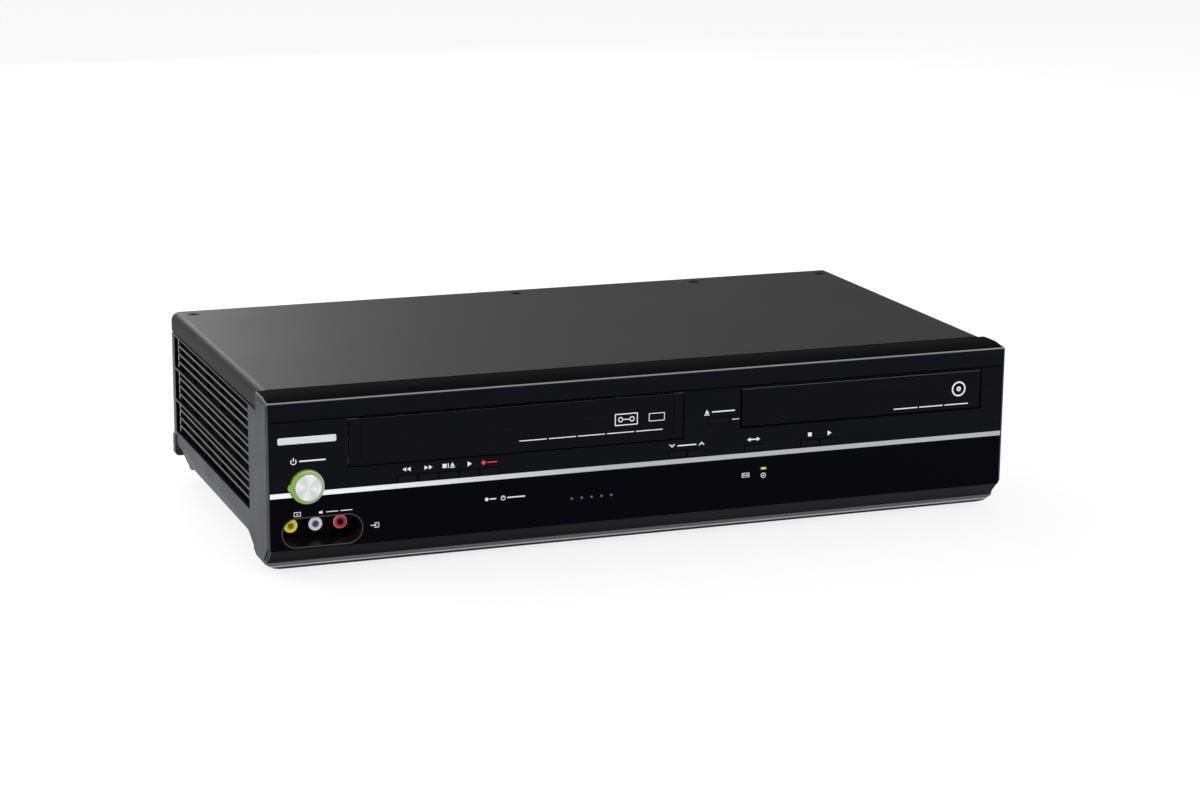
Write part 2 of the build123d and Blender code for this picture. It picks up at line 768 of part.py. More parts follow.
# Screws: a pan head in each dimple, and a shank through the rear panel's flange
screw_radius = 1.5
head_radius = 3.0
head_height = 1.1
screw_length = 7.0
cross_length = 3.8
cross_width = 0.7
cross_depth = 0.7
flange_top = dimple_floor - panel_gap
with BuildPart() as cover_screws:
    head_z = dimple_floor + sheet + turn_gap
    head_top = head_z + head_height
    for x in screw_xs:
        post(x, screw_y, head_z, head_top, head_radius)
        post(x, screw_y, flange_top - screw_length, head_z + hair, screw_radius)
        for half_x, half_y in ((cross_length / 2, cross_width / 2), (cross_width / 2, cross_length / 2)):
            block(x - half_x, x + half_x, screw_y - half_y, screw_y + half_y, head_top - cross_depth,
                  head_top + over, Mode.SUBTRACT)
save(cover_screws, "cover_screws")

# Bottom chassis: a shallow pan with a rim and low bosses
floor_thickness = 2.0
floor_top = chassis_z + floor_thickness
chassis_half = side_x - side_foot_inset - wall - slide_gap
chassis_y0 = front_y + bezel_depth + seam
rear_panel_inset = 4.0
rear_panel_thickness = 1.0
rear_panel_y1 = rear_y - rear_panel_inset
rear_panel_y0 = rear_panel_y1 - rear_panel_thickness
chassis_y1 = rear_panel_y1
rim_height = 3.5
rim_thickness = 2.0
boss_height = 2.6
boss_radius = 3.0
boss_inset = 4.0
boss_rear_inset = 16.0
foot_radius = 8.5
foot_plug = 1.5
foot_round = 1.2
foot_inset_x = 33.5
foot_inset_y = 21.0
foot_front_inset = 10.0
skid_width = 9.0
skid_length = 12.0
skid_drop = 4.5
skid_round = 4.0
foot_xs = [-half_width + foot_inset_x, half_width - foot_inset_x]
foot_ys = [front_y + bezel_depth + foot_front_inset, rear_y - foot_inset_y]

# Boards under the disc loader
main_board_inset = 7.5
main_board_width = 86.0
power_board_inset = 5.5
board_spacing = 4.0
boards_front = 40.0
power_board_front = 96.0
boards_rear_gap = 1.5
main_board_x0 = tray_x0 + main_board_inset
main_board_x1 = main_board_x0 + main_board_width
power_board_x0 = main_board_x1 + board_spacing
power_board_x1 = tray_x1 - power_board_inset
boards_y0 = front_y + boards_front
power_board_y0 = front_y + power_board_front
boards_y1 = rear_panel_y0 - boards_rear_gap
board_z = floor_top + boss_height


def board_corners(x0, x1, y0, y1):
    """Boss places near the four corners of a board."""
    return [(x, y) for x in (x0 + boss_inset, x1 - boss_inset) for y in (y0 + boss_inset,
            y1 - boss_rear_inset)]


board_bosses = board_corners(main_board_x0, main_board_x1, boards_y0, boards_y1)
board_bosses += board_corners(power_board_x0, power_board_x1, power_board_y0, boards_y1)
with BuildPart() as bottom_chassis:
    block(-chassis_half, chassis_half, chassis_y0, chassis_y1, chassis_z, floor_top)
    for side in (-1, 1):
        x0 = side * chassis_half - (rim_thickness if side > 0 else 0)
        block(x0, x0 + rim_thickness, chassis_y0, rear_panel_y0 - panel_gap, floor_top,
              floor_top + rim_height)
    block(-chassis_half, chassis_half, chassis_y0, chassis_y0 + rim_thickness, floor_top,
          floor_top + rim_height)
    for x, y in board_bosses:
        post(x, y, floor_top, floor_top + boss_height, boss_radius)
    for x in foot_xs:
        for y in foot_ys:
            post(x, y, chassis_z - over, floor_top + over, foot_plug + panel_gap, Mode.SUBTRACT)
    # short skids under the two rear corners
    for side in (-1, 1):
        x0 = side * chassis_half - (skid_width if side > 0 else 0)
        block(x0, x0 + skid_width, chassis_y1 - skid_length, chassis_y1, chassis_z - skid_drop,
              chassis_z + over)
    skid_edges = bottom_chassis.edges().filter_by(Axis.X).filter_by_position(
        Axis.Z, chassis_z - skid_drop - hair, chassis_z - skid_drop + hair)
    fillet(skid_edges, skid_round)
save(bottom_chassis, "bottom_chassis")

with BuildPart() as feet:
    for x in foot_xs:
        for y in foot_ys:
            post(x, y, 0, chassis_z - panel_gap, foot_radius)
            post(x, y, chassis_z - over, floor_top + seam, foot_plug)
    ground_edges = feet.edges().filter_by(GeomType.CIRCLE).filter_by_position(Axis.Z, -hair, hair)
    fillet(ground_edges, foot_round)
save(feet, "feet")

# Rear panel: a steel sheet with a flange under the cover, jack holes and slots for air
rear_half = side_x - wall - slide_gap
rear_flange = 14.0
rear_flange_inset = 4.0
rear_step_rise = 1.0
rear_column_pitch = 14.0
rear_row_rise = 12.0
board_top = board_z + board_thickness
rear_low_z = board_top + rear_row_rise
rear_row_pitch = 16.0
rear_rows = [rear_low_z, rear_low_z + rear_row_pitch]
rear_column_count = 6
rear_column_inset = 12.0
collar_wall = 0.9
collar_proud = 1.2
rear_columns = [main_board_x0 + rear_column_inset + i * rear_column_pitch for i in range(rear_column_count)]
rear_hole = jack_radius + collar_wall
rear_jack_proud = 3.0
jack_reach = rear_y + rear_jack_proud
inlet_inset = 20.0
inlet_rise = 9.0
inlet_x = power_board_x1 - inlet_inset
inlet_z = board_top + inlet_rise
inlet_width = 26.0
inlet_height = 16.0
vent_count = 14
vent_pitch = 7.0
vent_width = 2.4
vent_height = 26.0
vent_drop = 32.0
vent_z = case_height - vent_drop
vent_row_half = vent_pitch * (vent_count - 1) / 2
with BuildPart() as rear_panel:
    block(-chassis_half, chassis_half, rear_panel_y0, rear_panel_y1, floor_top + panel_gap, flange_top)
    block(-rear_half, rear_half, rear_panel_y0, rear_panel_y1, side_slant_z + rear_step_rise, flange_top)
    block(-rear_half + rear_flange_inset, rear_half - rear_flange_inset, rear_panel_y1 - rear_flange,
          rear_panel_y1, flange_top - rear_panel_thickness, flange_top)
    for x in screw_xs:
        post(x, screw_y, flange_top - rear_panel_thickness - over, flange_top + over,
             screw_radius + panel_gap, Mode.SUBTRACT)
    for x in rear_columns:
        for z in rear_rows:
            rod(x, z, rear_panel_y0 - over, rear_panel_y1 + over, rear_hole + panel_gap, Mode.SUBTRACT)
    block(inlet_x - inlet_width / 2 - panel_gap, inlet_x + inlet_width / 2 + panel_gap, rear_panel_y0 - over,
          rear_panel_y1 + over, inlet_z - inlet_height / 2 - panel_gap,
          inlet_z + inlet_height / 2 + panel_gap,
          Mode.SUBTRACT)
    with BuildSketch(at_y(rear_panel_y1 + over)) as vents:
        for row_mid in (slot_mid, tray_mid):
            for i in range(vent_count):
                with Locations((row_mid - vent_row_half + i * vent_pitch, vent_z)):
                    SlotOverall(vent_height, vent_width, rotation=90)
    extrude(vents.sketch, amount=rear_panel_thickness + 2 * over, mode=Mode.SUBTRACT)
save(rear_panel, "rear_panel")

# Rear jacks: each column is one moulded block on the main board with two collars through the panel
block_half = 6.0
block_depth = 12.0
aerial_radius = 4.7
aerial_bore = 1.0


def jack_column(x, radius, bore):
    """A block with two round jacks, one above the other."""
    y1 = rear_panel_y0 - panel_gap
    block(x - block_half, x + block_half, y1 - block_depth, y1, board_top, rear_rows[-1] + block_half)
    for z in rear_rows:
        rod(x, z, y1 - over, rear_panel_y1 + collar_proud, rear_hole)
        rod(x, z, y1 - over, jack_reach, radius)
        rod(x, z, jack_reach - jack_bore_depth, jack_reach + over, bore, Mode.SUBTRACT)


with BuildPart() as aerial_sockets:
    jack_column(rear_columns[0], aerial_radius, aerial_bore)
save(aerial_sockets, "aerial_sockets")
with BuildPart() as av_jacks:
    for x in rear_columns[1:4]:
        jack_column(x, jack_radius, jack_bore)
save(av_jacks, "av_jacks")
with BuildPart() as component_jacks:
    for x in rear_columns[4:6]:
        jack_column(x, jack_radius, jack_bore)
save(component_jacks, "component_jacks")

# Mains inlet: a two pin socket on the power board
inlet_pin_pitch = 8.6
inlet_pin_radius = 1.2
inlet_mouth_width = 17.6
inlet_mouth_height = 9.0
inlet_mouth_depth = 12.0
inlet_depth = 17.0
inlet_proud = 1.5
inlet_pin_inset = 2.0
inlet_leg = 8.0
inlet_y1 = rear_panel_y1 + inlet_proud
inlet_low = inlet_z - inlet_height / 2
with BuildPart() as mains_inlet:
    block(inlet_x - inlet_width / 2, inlet_x + inlet_width / 2, inlet_y1 - inlet_depth, inlet_y1,
          inlet_z - inlet_height / 2, inlet_z + inlet_height / 2)
    with BuildSketch(at_y(inlet_y1 + over)) as mouth:
        with Locations((inlet_x, inlet_z)):
            SlotOverall(inlet_mouth_width, inlet_mouth_height)
    extrude(mouth.sketch, amount=inlet_mouth_depth + over, mode=Mode.SUBTRACT)
    for side in (-1, 1):
        rod(inlet_x + side * inlet_pin_pitch / 2, inlet_z, inlet_y1 - inlet_mouth_depth - over,
            inlet_y1 - inlet_pin_inset, inlet_pin_radius)
    # a leg carries it on the power board
    block(inlet_x - inlet_leg / 2, inlet_x + inlet_leg / 2, inlet_y1 - inlet_depth + over,
          inlet_y1 - inlet_leg,
          board_top, inlet_low + over)
save(mains_inlet, "mains_inlet")

# Main board. Each chip is a place on the board and a size.
chips = [(20.0, 40.0, 14.0), (50.0, 60.0, 18.0), (66.0, 30.0, 10.0), (30.0, 90.0, 12.0), (62.0, 110.0, 14.0)]
chip_height = 2.0
with BuildPart() as main_board:
    block(main_board_x0, main_board_x1, boards_y0, boards_y1, board_z, board_top)
    for dx, dy, size in chips:
        x = main_board_x0 + dx
        y = boards_y0 + dy
        block(x - size / 2, x + size / 2, y - size / 2, y + size / 2, board_top, board_top + chip_height)
save(main_board, "main_board")

# Power board: a transformer, two capacitors and an upright heat sink. Each capacitor is a place from the
# transformer's middle, a radius and a height.
core_width = 28.0
core_depth = 26.0
core_thickness = 4.5
winding_width = 18.0
winding_depth = 20.0
winding_height = 13.0
core_inset = 43.0
core_y = power_board_y0 + core_inset
capacitors = [(-8.0, 31.0, 8.0, 22.0), (12.0, 29.0, 5.0, 18.0)]
sink_width = 24.0
sink_thickness = 3.0
sink_height = 20.0
sink_inset = 15.5
sink_y = power_board_y0 + sink_inset
with BuildPart() as power_board:
    block(power_board_x0, power_board_x1, power_board_y0, boards_y1, board_z, board_top)
    middle = (power_board_x0 + power_board_x1) / 2
    winding_z0 = board_top + core_thickness
    winding_z1 = winding_z0 + winding_height
    for z in (board_top, winding_z1):
        block(middle - core_width / 2, middle + core_width / 2, core_y - core_depth / 2,
              core_y + core_depth / 2,
              z, z + core_thickness)
    block(middle - winding_width / 2, middle + winding_width / 2, core_y - winding_depth / 2,
          core_y + winding_depth / 2, winding_z0, winding_z1)
    for dx, dy, radius, height in capacitors:
        post(middle + dx, core_y + dy, board_top, board_top + height, radius)
    block(middle - sink_width / 2, middle + sink_width / 2, sink_y - sink_thickness / 2,
          sink_y + sink_thickness / 2, board_top, board_top + sink_height)
save(power_board, "power_board")

# VCR deck plate on legs, with holes for the reels, the capstan and the drum
deck_legs = 16.5
deck_thickness = 1.2
deck_z0 = floor_top + deck_legs
deck_z1 = deck_z0 + deck_thickness
deck_overhang = 15.5
deck_front = 18.0
deck_rear_gap = 2.0
deck_leg_radius = 4.0
deck_leg_inset_x = 5.0
deck_leg_inset_y = 7.0
deck_x0 = slot_x0 - deck_overhang
deck_x1 = slot_x1 + deck_overhang
deck_y0 = carriage_y0 + deck_front
deck_y1 = rear_panel_y0 - deck_rear_gap
reel_spacing = 92.5
reel_depth = 47.0
reel_y = carriage_y0 + carriage_travel + reel_depth
reel_xs = [slot_mid - reel_spacing / 2, slot_mid + reel_spacing / 2]
drum_shift = 6.5
capstan_shift = 43.5
capstan_depth = 16.0
drum_x = slot_mid - drum_shift
drum_y = carriage_y1 + carriage_travel + drum_gap + drum_diameter / 2
capstan_x = slot_mid + capstan_shift
capstan_y = carriage_y1 + carriage_travel + capstan_depth
capstan_radius = 1.5
roller_radius = 6.0
arm_pivot_dx = 26.0
arm_pivot_dy = 22.0
arm_pivot_x = capstan_x + arm_pivot_dx
arm_pivot_y = capstan_y + arm_pivot_dy
arm_swing = 30.0
roller_gap = 0.3
pin_radius = 2.0
# How far a pin hangs below the sheet that it turns in
pin_below = 2.0
with BuildPart() as deck_plate:
    block(deck_x0, deck_x1, deck_y0, deck_y1, deck_z0, deck_z1)
    for x in (deck_x0 + deck_leg_inset_x, deck_x1 - deck_leg_inset_x):
        for y in (deck_y0 + deck_leg_inset_y, deck_y1 - deck_leg_inset_y):
            post(x, y, floor_top, deck_z0, deck_leg_radius)
    pivots = [(x, reel_y, pin_radius) for x in reel_xs]
    pivots += [(capstan_x, capstan_y, capstan_radius), (arm_pivot_x, arm_pivot_y, pin_radius)]
    for x, y, radius in pivots:
        post(x, y, deck_z0 - over, deck_z1 + over, radius + turn_gap, Mode.SUBTRACT)
save(deck_plate, "deck_plate")

# Reel tables: a flange, a hub and three drive fins over a pin through the deck
reel_flange_radius = 17.0
reel_boss_radius = 10.0
reel_hub_radius = 6.5
reel_flange_height = 3.0
reel_boss_height = 5.0
reel_hub_height = 11.0
reel_flange_top = deck_z1 + reel_flange_height
reel_boss_top = reel_flange_top + reel_boss_height
reel_hub_top = reel_boss_top + reel_hub_height
reel_hub_bevel = 2.5
fin_count = 3
fin_reach = 4.0
fin_thickness = 1.6
fin_height = 9.0
fin_rise = 4.0
fin_z = reel_boss_top + fin_rise
for x, name in zip(reel_xs, ["supply_reel", "takeup_reel"]):
    with BuildPart() as reel:
        post(x, reel_y, deck_z1 + slide_gap, reel_flange_top, reel_flange_radius)
        post(x, reel_y, reel_flange_top, reel_boss_top, reel_boss_radius)
        post(x, reel_y, reel_boss_top, reel_hub_top, reel_hub_radius)
        hub_edge = reel.edges().filter_by(GeomType.CIRCLE).sort_by(Axis.Z)[-1]
        chamfer(hub_edge, reel_hub_bevel)
        post(x, reel_y, deck_z0 - pin_below, deck_z1 + over, pin_radius)
        with Locations((x, reel_y, fin_z)):
            with PolarLocations(reel_hub_radius, fin_count):
                Box(fin_reach, fin_thickness, fin_height)
    save(reel, name)

# Head drum: a fixed lower half and a turning upper half with a small gap between them
drum_radius = drum_diameter / 2
drum_low_height = 19.0
drum_high_height = 17.0
drum_split = deck_z1 + drum_low_height
shaft_radius = 3.0
shaft_length = 10.0
drum_bevel = 1.0
pocket_count = 4
pocket_inset = 12.0
pocket_length = 7.0
pocket_width = 9.0
pocket_depth = 3.0
drum_top = drum_split + drum_high_height
with BuildPart() as head_drum:
    post(drum_x, drum_y, drum_split + slide_gap, drum_top, drum_radius)
    drum_rim = head_drum.edges().filter_by(GeomType.CIRCLE).sort_by(Axis.Z)[-1]
    chamfer(drum_rim, drum_bevel)
    post(drum_x, drum_y, drum_split - shaft_length, drum_split + over, shaft_radius)
    with Locations((drum_x, drum_y, drum_top)):
        with PolarLocations(drum_radius - pocket_inset, pocket_count):
            Box(pocket_length, pocket_width, 2 * pocket_depth, mode=Mode.SUBTRACT)
save(head_drum, "head_drum")

# Fixed tape path: drum base, two heads and four guide posts. Posts and heads are places from the drum's
# axis.
guide_radius = 3.0
guide_height = 24.0
guide_cap = 3.0
guide_cap_rim = 1.5
head_width = 8.0
head_depth = 6.0
head_block_height = 22.0
guides = [(-46.0, -18.0), (-40.0, 4.0), (38.0, 6.0), (44.0, -8.0)]
fixed_heads = [(-58.0, -24.0), (36.0, -22.0)]
with BuildPart() as tape_path:
    post(drum_x, drum_y, deck_z1, drum_split, drum_radius)
    post(drum_x, drum_y, drum_split - shaft_length - over, drum_split + over, shaft_radius + turn_gap,
         Mode.SUBTRACT)
    guide_top = deck_z1 + guide_height
    for dx, dy in guides:
        x = drum_x + dx
        y = drum_y + dy
        post(x, y, deck_z1, guide_top, guide_radius)
        post(x, y, guide_top - guide_cap, guide_top, guide_radius + guide_cap_rim)
    for dx, dy in fixed_heads:
        x = drum_x + dx
        y = drum_y + dy
        block(x - head_width / 2, x + head_width / 2, y - head_depth / 2, y + head_depth / 2, deck_z1,
              deck_z1 + head_block_height)
save(tape_path, "tape_path")

# Capstan: a thin shaft through the deck with a flywheel below it
flywheel_radius = 22.0
flywheel_height = 9.0
flywheel_gap = 0.5
capstan_height = 26.0
flywheel_top = deck_z0 - flywheel_gap
with BuildPart() as capstan:
    post(capstan_x, capstan_y, flywheel_top - flywheel_height, flywheel_top, flywheel_radius)
    post(capstan_x, capstan_y, flywheel_top - over, deck_z1 + capstan_height, capstan_radius)
save(capstan, "capstan")

# Pinch roller arm: it swings about a pin until the roller all but meets the capstan
engaged_x = capstan_x + capstan_radius + roller_radius + roller_gap
arm_dx = engaged_x - arm_pivot_x
arm_dy = capstan_y - arm_pivot_y
arm_length = sqrt(arm_dx ** 2 + arm_dy ** 2)
arm_angle = degrees(atan2(arm_dy, arm_dx)) + arm_swing
roller_x = arm_pivot_x + arm_length * cos(radians(arm_angle))
roller_y = arm_pivot_y + arm_length * sin(radians(arm_angle))
arm_width = 6.0
arm_thickness = 3.0
arm_hub_radius = 5.0
arm_hub_height = 5.0
roller_lift = 6.0
roller_z0 = deck_z1 + roller_lift
roller_height = 16.0
roller_pin_proud = 3.0
with BuildPart() as pinch_arm:
    arm_z0 = deck_z1 + slide_gap
    post(arm_pivot_x, arm_pivot_y, deck_z0 - pin_below, arm_z0 + over, pin_radius)
    post(arm_pivot_x, arm_pivot_y, arm_z0, arm_z0 + arm_hub_height, arm_hub_radius)
    with BuildSketch(Plane.XY.offset(arm_z0)) as lever:
        with Locations(Location(((arm_pivot_x + roller_x) / 2, (arm_pivot_y + roller_y) / 2), arm_angle)):
            SlotCenterToCenter(arm_length, arm_width)
    extrude(lever.sketch, amount=arm_thickness)
    roller_z1 = roller_z0 + roller_height
    post(roller_x, roller_y, arm_z0 + over, roller_z1 + roller_pin_proud, capstan_radius)
    post(roller_x, roller_y, roller_z0, roller_z1, roller_radius)
save(pinch_arm, "pinch_arm")

# Cassette carriage: an open fronted holder with ledges under the cassette's two sides
holder_sheet = 1.0
holder_room = 0.9
holder_half = cassette_width / 2 + holder_room
holder_out = holder_half + holder_sheet
holder_floor = sill_z
holder_headroom = 1.2
holder_height = cassette_height + holder_headroom
holder_top = holder_floor + holder_height
ledge_width = 14.0
roof_window = 80.0
roof_rim = 21.0
carriage_drop = 20.0
slider_gap = 0.6
slider_thickness = 1.2
holder_pin_rise = 16.0
holder_pin_front = 28.0
holder_pin_spacing = 48.0
holder_pin_z = holder_floor + holder_pin_rise
holder_pin_ys = [carriage_y0 + holder_pin_front, carriage_y0 + holder_pin_front + holder_pin_spacing]
slider_in = holder_out + slider_gap
slider_out = slider_in + slider_thickness
with BuildPart() as cassette_carriage:
    block(slot_mid - holder_out, slot_mid + holder_out, carriage_y0, carriage_y1,
          holder_floor - holder_sheet,
          holder_top + holder_sheet)
    block(slot_mid - holder_half, slot_mid + holder_half, carriage_y0 - over, carriage_y1 - holder_sheet,
          holder_floor, holder_top, Mode.SUBTRACT)
    # open floor between the ledges, open back above it, and a window in the roof
    open_half = holder_half - ledge_width
    block(slot_mid - open_half, slot_mid + open_half, carriage_y0 - over, carriage_y1 + over,
          holder_floor - holder_sheet - over, holder_floor, Mode.SUBTRACT)
    block(slot_mid - open_half, slot_mid + open_half, carriage_y1 - holder_sheet - over, carriage_y1 + over,
          holder_floor - over, holder_top, Mode.SUBTRACT)
    block(slot_mid - roof_window / 2, slot_mid + roof_window / 2, carriage_y0 + roof_rim,
          carriage_y1 - roof_rim,
          holder_top - over, holder_top + holder_sheet + over, Mode.SUBTRACT)
    for side in (-1, 1):
        x_in = slot_mid + side * (holder_out - holder_sheet / 2)
        x_out = slot_mid + side * (slider_out + panel_gap)
        for y in holder_pin_ys:
            cross_pin(y, holder_pin_z, min(x_in, x_out), max(x_in, x_out), pin_radius)
save(cassette_carriage, "cassette_carriage")

# Carriage slider: two side plates that travel inward and carry the holder's pins in upright slots
slot_room = 0.2
slider_front = 18.0
slider_length = 70.0
slider_below = 22.0
slider_above = 24.0
track_pin_inset = 6.0
slider_y0 = carriage_y0 + slider_front
slider_y1 = slider_y0 + slider_length
slider_z0 = holder_floor - slider_below
slider_z1 = holder_floor + slider_above
track_pin_z = slider_z0 + track_pin_inset
track_pin_ys = [slider_y0 + track_pin_inset, slider_y1 - track_pin_inset]
bracket_gap = 0.4
bracket_sheet = 1.2
bracket_lap = 2.0
bracket_foot = 9.0
bracket_foot_inset = 4.0
bracket_in = slider_out + bracket_gap
bracket_out = bracket_in + bracket_sheet
with BuildPart() as carriage_slider:
    for side in (-1, 1):
        x0 = slot_mid + min(side * slider_in, side * slider_out)
        block(x0, x0 + slider_thickness, slider_y0, slider_y1, slider_z0, slider_z1)
        for y in holder_pin_ys:
            slot_half_width = pin_radius + slot_room
            block(x0 - over, x0 + slider_thickness + over, y - slot_half_width, y + slot_half_width,
                  holder_pin_z - carriage_drop - slot_half_width, holder_pin_z + slot_half_width,
                  Mode.SUBTRACT)
        pin_a = slot_mid + side * (slider_out - slider_thickness / 2)
        pin_b = slot_mid + side * (bracket_out + bracket_gap)
        for y in track_pin_ys:
            cross_pin(y, track_pin_z, min(pin_a, pin_b), max(pin_a, pin_b), pin_radius)
save(carriage_slider, "carriage_slider")

# Brackets that stand on the deck, with level slots for the slider's pins
with BuildPart() as carriage_brackets:
    for side in (-1, 1):
        x0 = slot_mid + min(side * bracket_in, side * bracket_out)
        block(x0, x0 + bracket_sheet, slider_y0 - bracket_lap, slider_y1 + carriage_travel + bracket_lap,
              deck_z1,
              slider_z1)
        foot_a = slot_mid + side * bracket_in
        foot_b = slot_mid + side * (bracket_out + bracket_foot)
        block(min(foot_a, foot_b), max(foot_a, foot_b), slider_y0 + bracket_foot_inset,
              slider_y1 + carriage_travel - bracket_foot_inset, deck_z1, deck_z1 + bracket_sheet)
        for y in track_pin_ys:
            block(x0 - over, x0 + bracket_sheet + over, y - pin_radius - slot_room,
                  y + carriage_travel + pin_radius + slot_room, track_pin_z - pin_radius - panel_gap,
                  track_pin_z + pin_radius + panel_gap, Mode.SUBTRACT)
save(carriage_brackets, "carriage_brackets")

# Rack and gear of the tray drive, module one with 20 degree flanks
tray_plate_inset = 2.4
tray_plate_x0 = tray_x0 + tray_plate_inset
tray_plate_x1 = tray_x1 - tray_plate_inset
tray_length = 179.0
tray_plate_rise = 7.2
tray_rear_y = front_y + tray_length
tray_z0 = tray_sill + tray_plate_rise
tray_thickness = 4.5
tray_top = tray_z0 + tray_thickness
tray_travel = 140.0
gear_module = 1.0
gear_teeth = 20
pressure_angle = 20.0
backlash = 0.25
gear_radius = gear_module * gear_teeth / 2
tooth_tip = 0.9
tooth_root = 1.2
rack_height = 4.0
rack_inset = 5.2
rack_body = 4.0
rack_spare = 16.0
# Teeth in front of the gear, and steps along a tooth's flank
rack_lead = 1.5
flank_steps = 4
rack_back_x = tray_plate_x0 + rack_inset
rack_pitch_x = rack_back_x + rack_body
gear_x = rack_pitch_x + gear_radius
gear_depth = 32.0
gear_y = front_y + gear_depth
rack_pitch = pi * gear_module
rack_tooth_count = int((tray_travel + rack_spare) / rack_pitch)
gear_shaft = 1.5
gear_hub = 7.0
pulley_radius = 11.0
belt_drop = 4.0
belt_z = tray_z0 - rack_height - belt_drop
belt_height = 2.4

# Disc loader frame: a base on legs, two side walls and ledges that the tray slides on
tray_side_gap = 0.4
loader_wall = 2.4
loader_x0 = tray_plate_x0 - tray_side_gap - loader_wall
loader_x1 = tray_plate_x1 + tray_side_gap + loader_wall
loader_front_gap = 2.4
loader_rear_room = 8.0
loader_depth_below = 26.0
loader_rise = 4.5
loader_leg_inset = 6.0
loader_y0 = board_front_y + board_thickness + loader_front_gap
loader_y1 = tray_rear_y + loader_rear_room
loader_z0 = tray_z0 - loader_depth_below
loader_base = 2.0
loader_base_top = loader_z0 + loader_base
loader_top = tray_top + loader_rise
loader_leg_radius = 2.4
ledge_height = 2.2
ledge_reach = 3.0
gear_post_radius = 4.0
gear_post_gap = 0.2
gear_shaft_gap = 0.6
spindle_depth = 79.25
spindle_y = front_y + spindle_depth
traverse_half = 36.0
traverse_front = 22.0
traverse_rear = 90.0
traverse_room = 3.0
traverse_rise = 11.5
tilt_inset = 5.0
traverse_y0 = spindle_y - traverse_front
traverse_y1 = spindle_y + traverse_rear
traverse_z0 = loader_z0 + traverse_rise
traverse_thickness = 1.5
traverse_z1 = traverse_z0 + traverse_thickness
tilt_y = traverse_y1 - tilt_inset
tilt_z = traverse_z0 + traverse_thickness / 2
tilt_pin = 1.5
lug_width = 3.0
lug_depth = 8.0
pulley_lower_rim = 1.0
pulley_base = belt_z - pulley_lower_rim
with BuildPart() as loader_frame:
    block(loader_x0, loader_x1, loader_y0, loader_y1, loader_z0, loader_base_top)
    window_half = traverse_half + traverse_room
    block(tray_mid - window_half, tray_mid + window_half, traverse_y0 - traverse_room,
          traverse_y1 + traverse_room,
          loader_z0 - over, loader_base_top + over, Mode.SUBTRACT)
    for x in (loader_x0, loader_x1 - loader_wall):
        block(x, x + loader_wall, loader_y0, loader_y1, loader_z0, loader_top)
        for y in (loader_y0 + loader_leg_inset, loader_y1 - loader_leg_inset):
            post(x + loader_wall / 2, y, floor_top, loader_base_top, loader_leg_radius)
    ledge_top = tray_z0 - slide_gap
    for x in (loader_x0, loader_x1 - loader_wall - ledge_reach):
        block(x, x + loader_wall + ledge_reach, loader_y0, loader_y1, ledge_top - ledge_height, ledge_top)
    # post and pin for the tray gear
    post(gear_x, gear_y, loader_z0, pulley_base - gear_post_gap, gear_post_radius)
    post(gear_x, gear_y, loader_z0, tray_z0 - gear_shaft_gap, gear_shaft)
    # lugs for the traverse's pivot pins
    for side in (-1, 1):
        lug_a = tray_mid + side * window_half
        lug_b = lug_a + side * lug_width
        block(min(lug_a, lug_b), max(lug_a, lug_b), tilt_y - lug_depth / 2, tilt_y + lug_depth / 2,
              loader_z0,
              tilt_z + lug_depth / 2)
    cross_pin(tilt_y, tilt_z, tray_mid - window_half - lug_width - over,
              tray_mid + window_half + lug_width + over,
              tilt_pin + turn_gap, Mode.SUBTRACT)
save(loader_frame, "loader_frame")


def rack_outline():
    """Rack seen from above, with its teeth pointing to +X. One gap lies level with the gear's tooth."""
    slope = tan(radians(pressure_angle))
    tip = gear_module * tooth_tip
    root = gear_module * tooth_root
    half_thick = rack_pitch / 4 - backlash / 2
    first = gear_y - rack_lead * rack_pitch
    points = [(rack_back_x, first - rack_pitch)]
    for i in range(rack_tooth_count):
        y = first + i * rack_pitch
        points.append((rack_pitch_x - root, y - half_thick - root * slope))
        points.append((rack_pitch_x + tip, y - half_thick + tip * slope))
        points.append((rack_pitch_x + tip, y + half_thick - tip * slope))
        points.append((rack_pitch_x - root, y + half_thick + root * slope))
    points.append((rack_back_x, points[-1][1]))
    return points


def involute(base, radius):
    """Angle by which the involute of a base circle has turned at a radius."""
    alpha = acos(base / radius)
    return tan(alpha) - alpha


def gear_outline(centre_x, centre_y, pitch_radius, teeth):
    """Spur gear profile with one tooth on the +X side of its centre."""
    base = pitch_radius * cos(radians(pressure_angle))
    tip = pitch_radius + gear_module * tooth_tip
    root = pitch_radius - gear_module * tooth_root
    half_angle = (pi / 2 - backlash / 2 / gear_module) / teeth + involute(base, pitch_radius)
    radii = [base + (tip - base) * i / flank_steps for i in range(flank_steps + 1)]
    polar = []
    for k in range(teeth):
        middle = 2 * pi * k / teeth
        polar.append((root, middle - half_angle))
        polar.extend((r, middle - half_angle + involute(base, r)) for r in radii)
        polar.extend((r, middle + half_angle - involute(base, r)) for r in reversed(radii))
        polar.append((root, middle + half_angle))
    return [(centre_x + r * cos(a), centre_y + r * sin(a)) for r, a in polar]


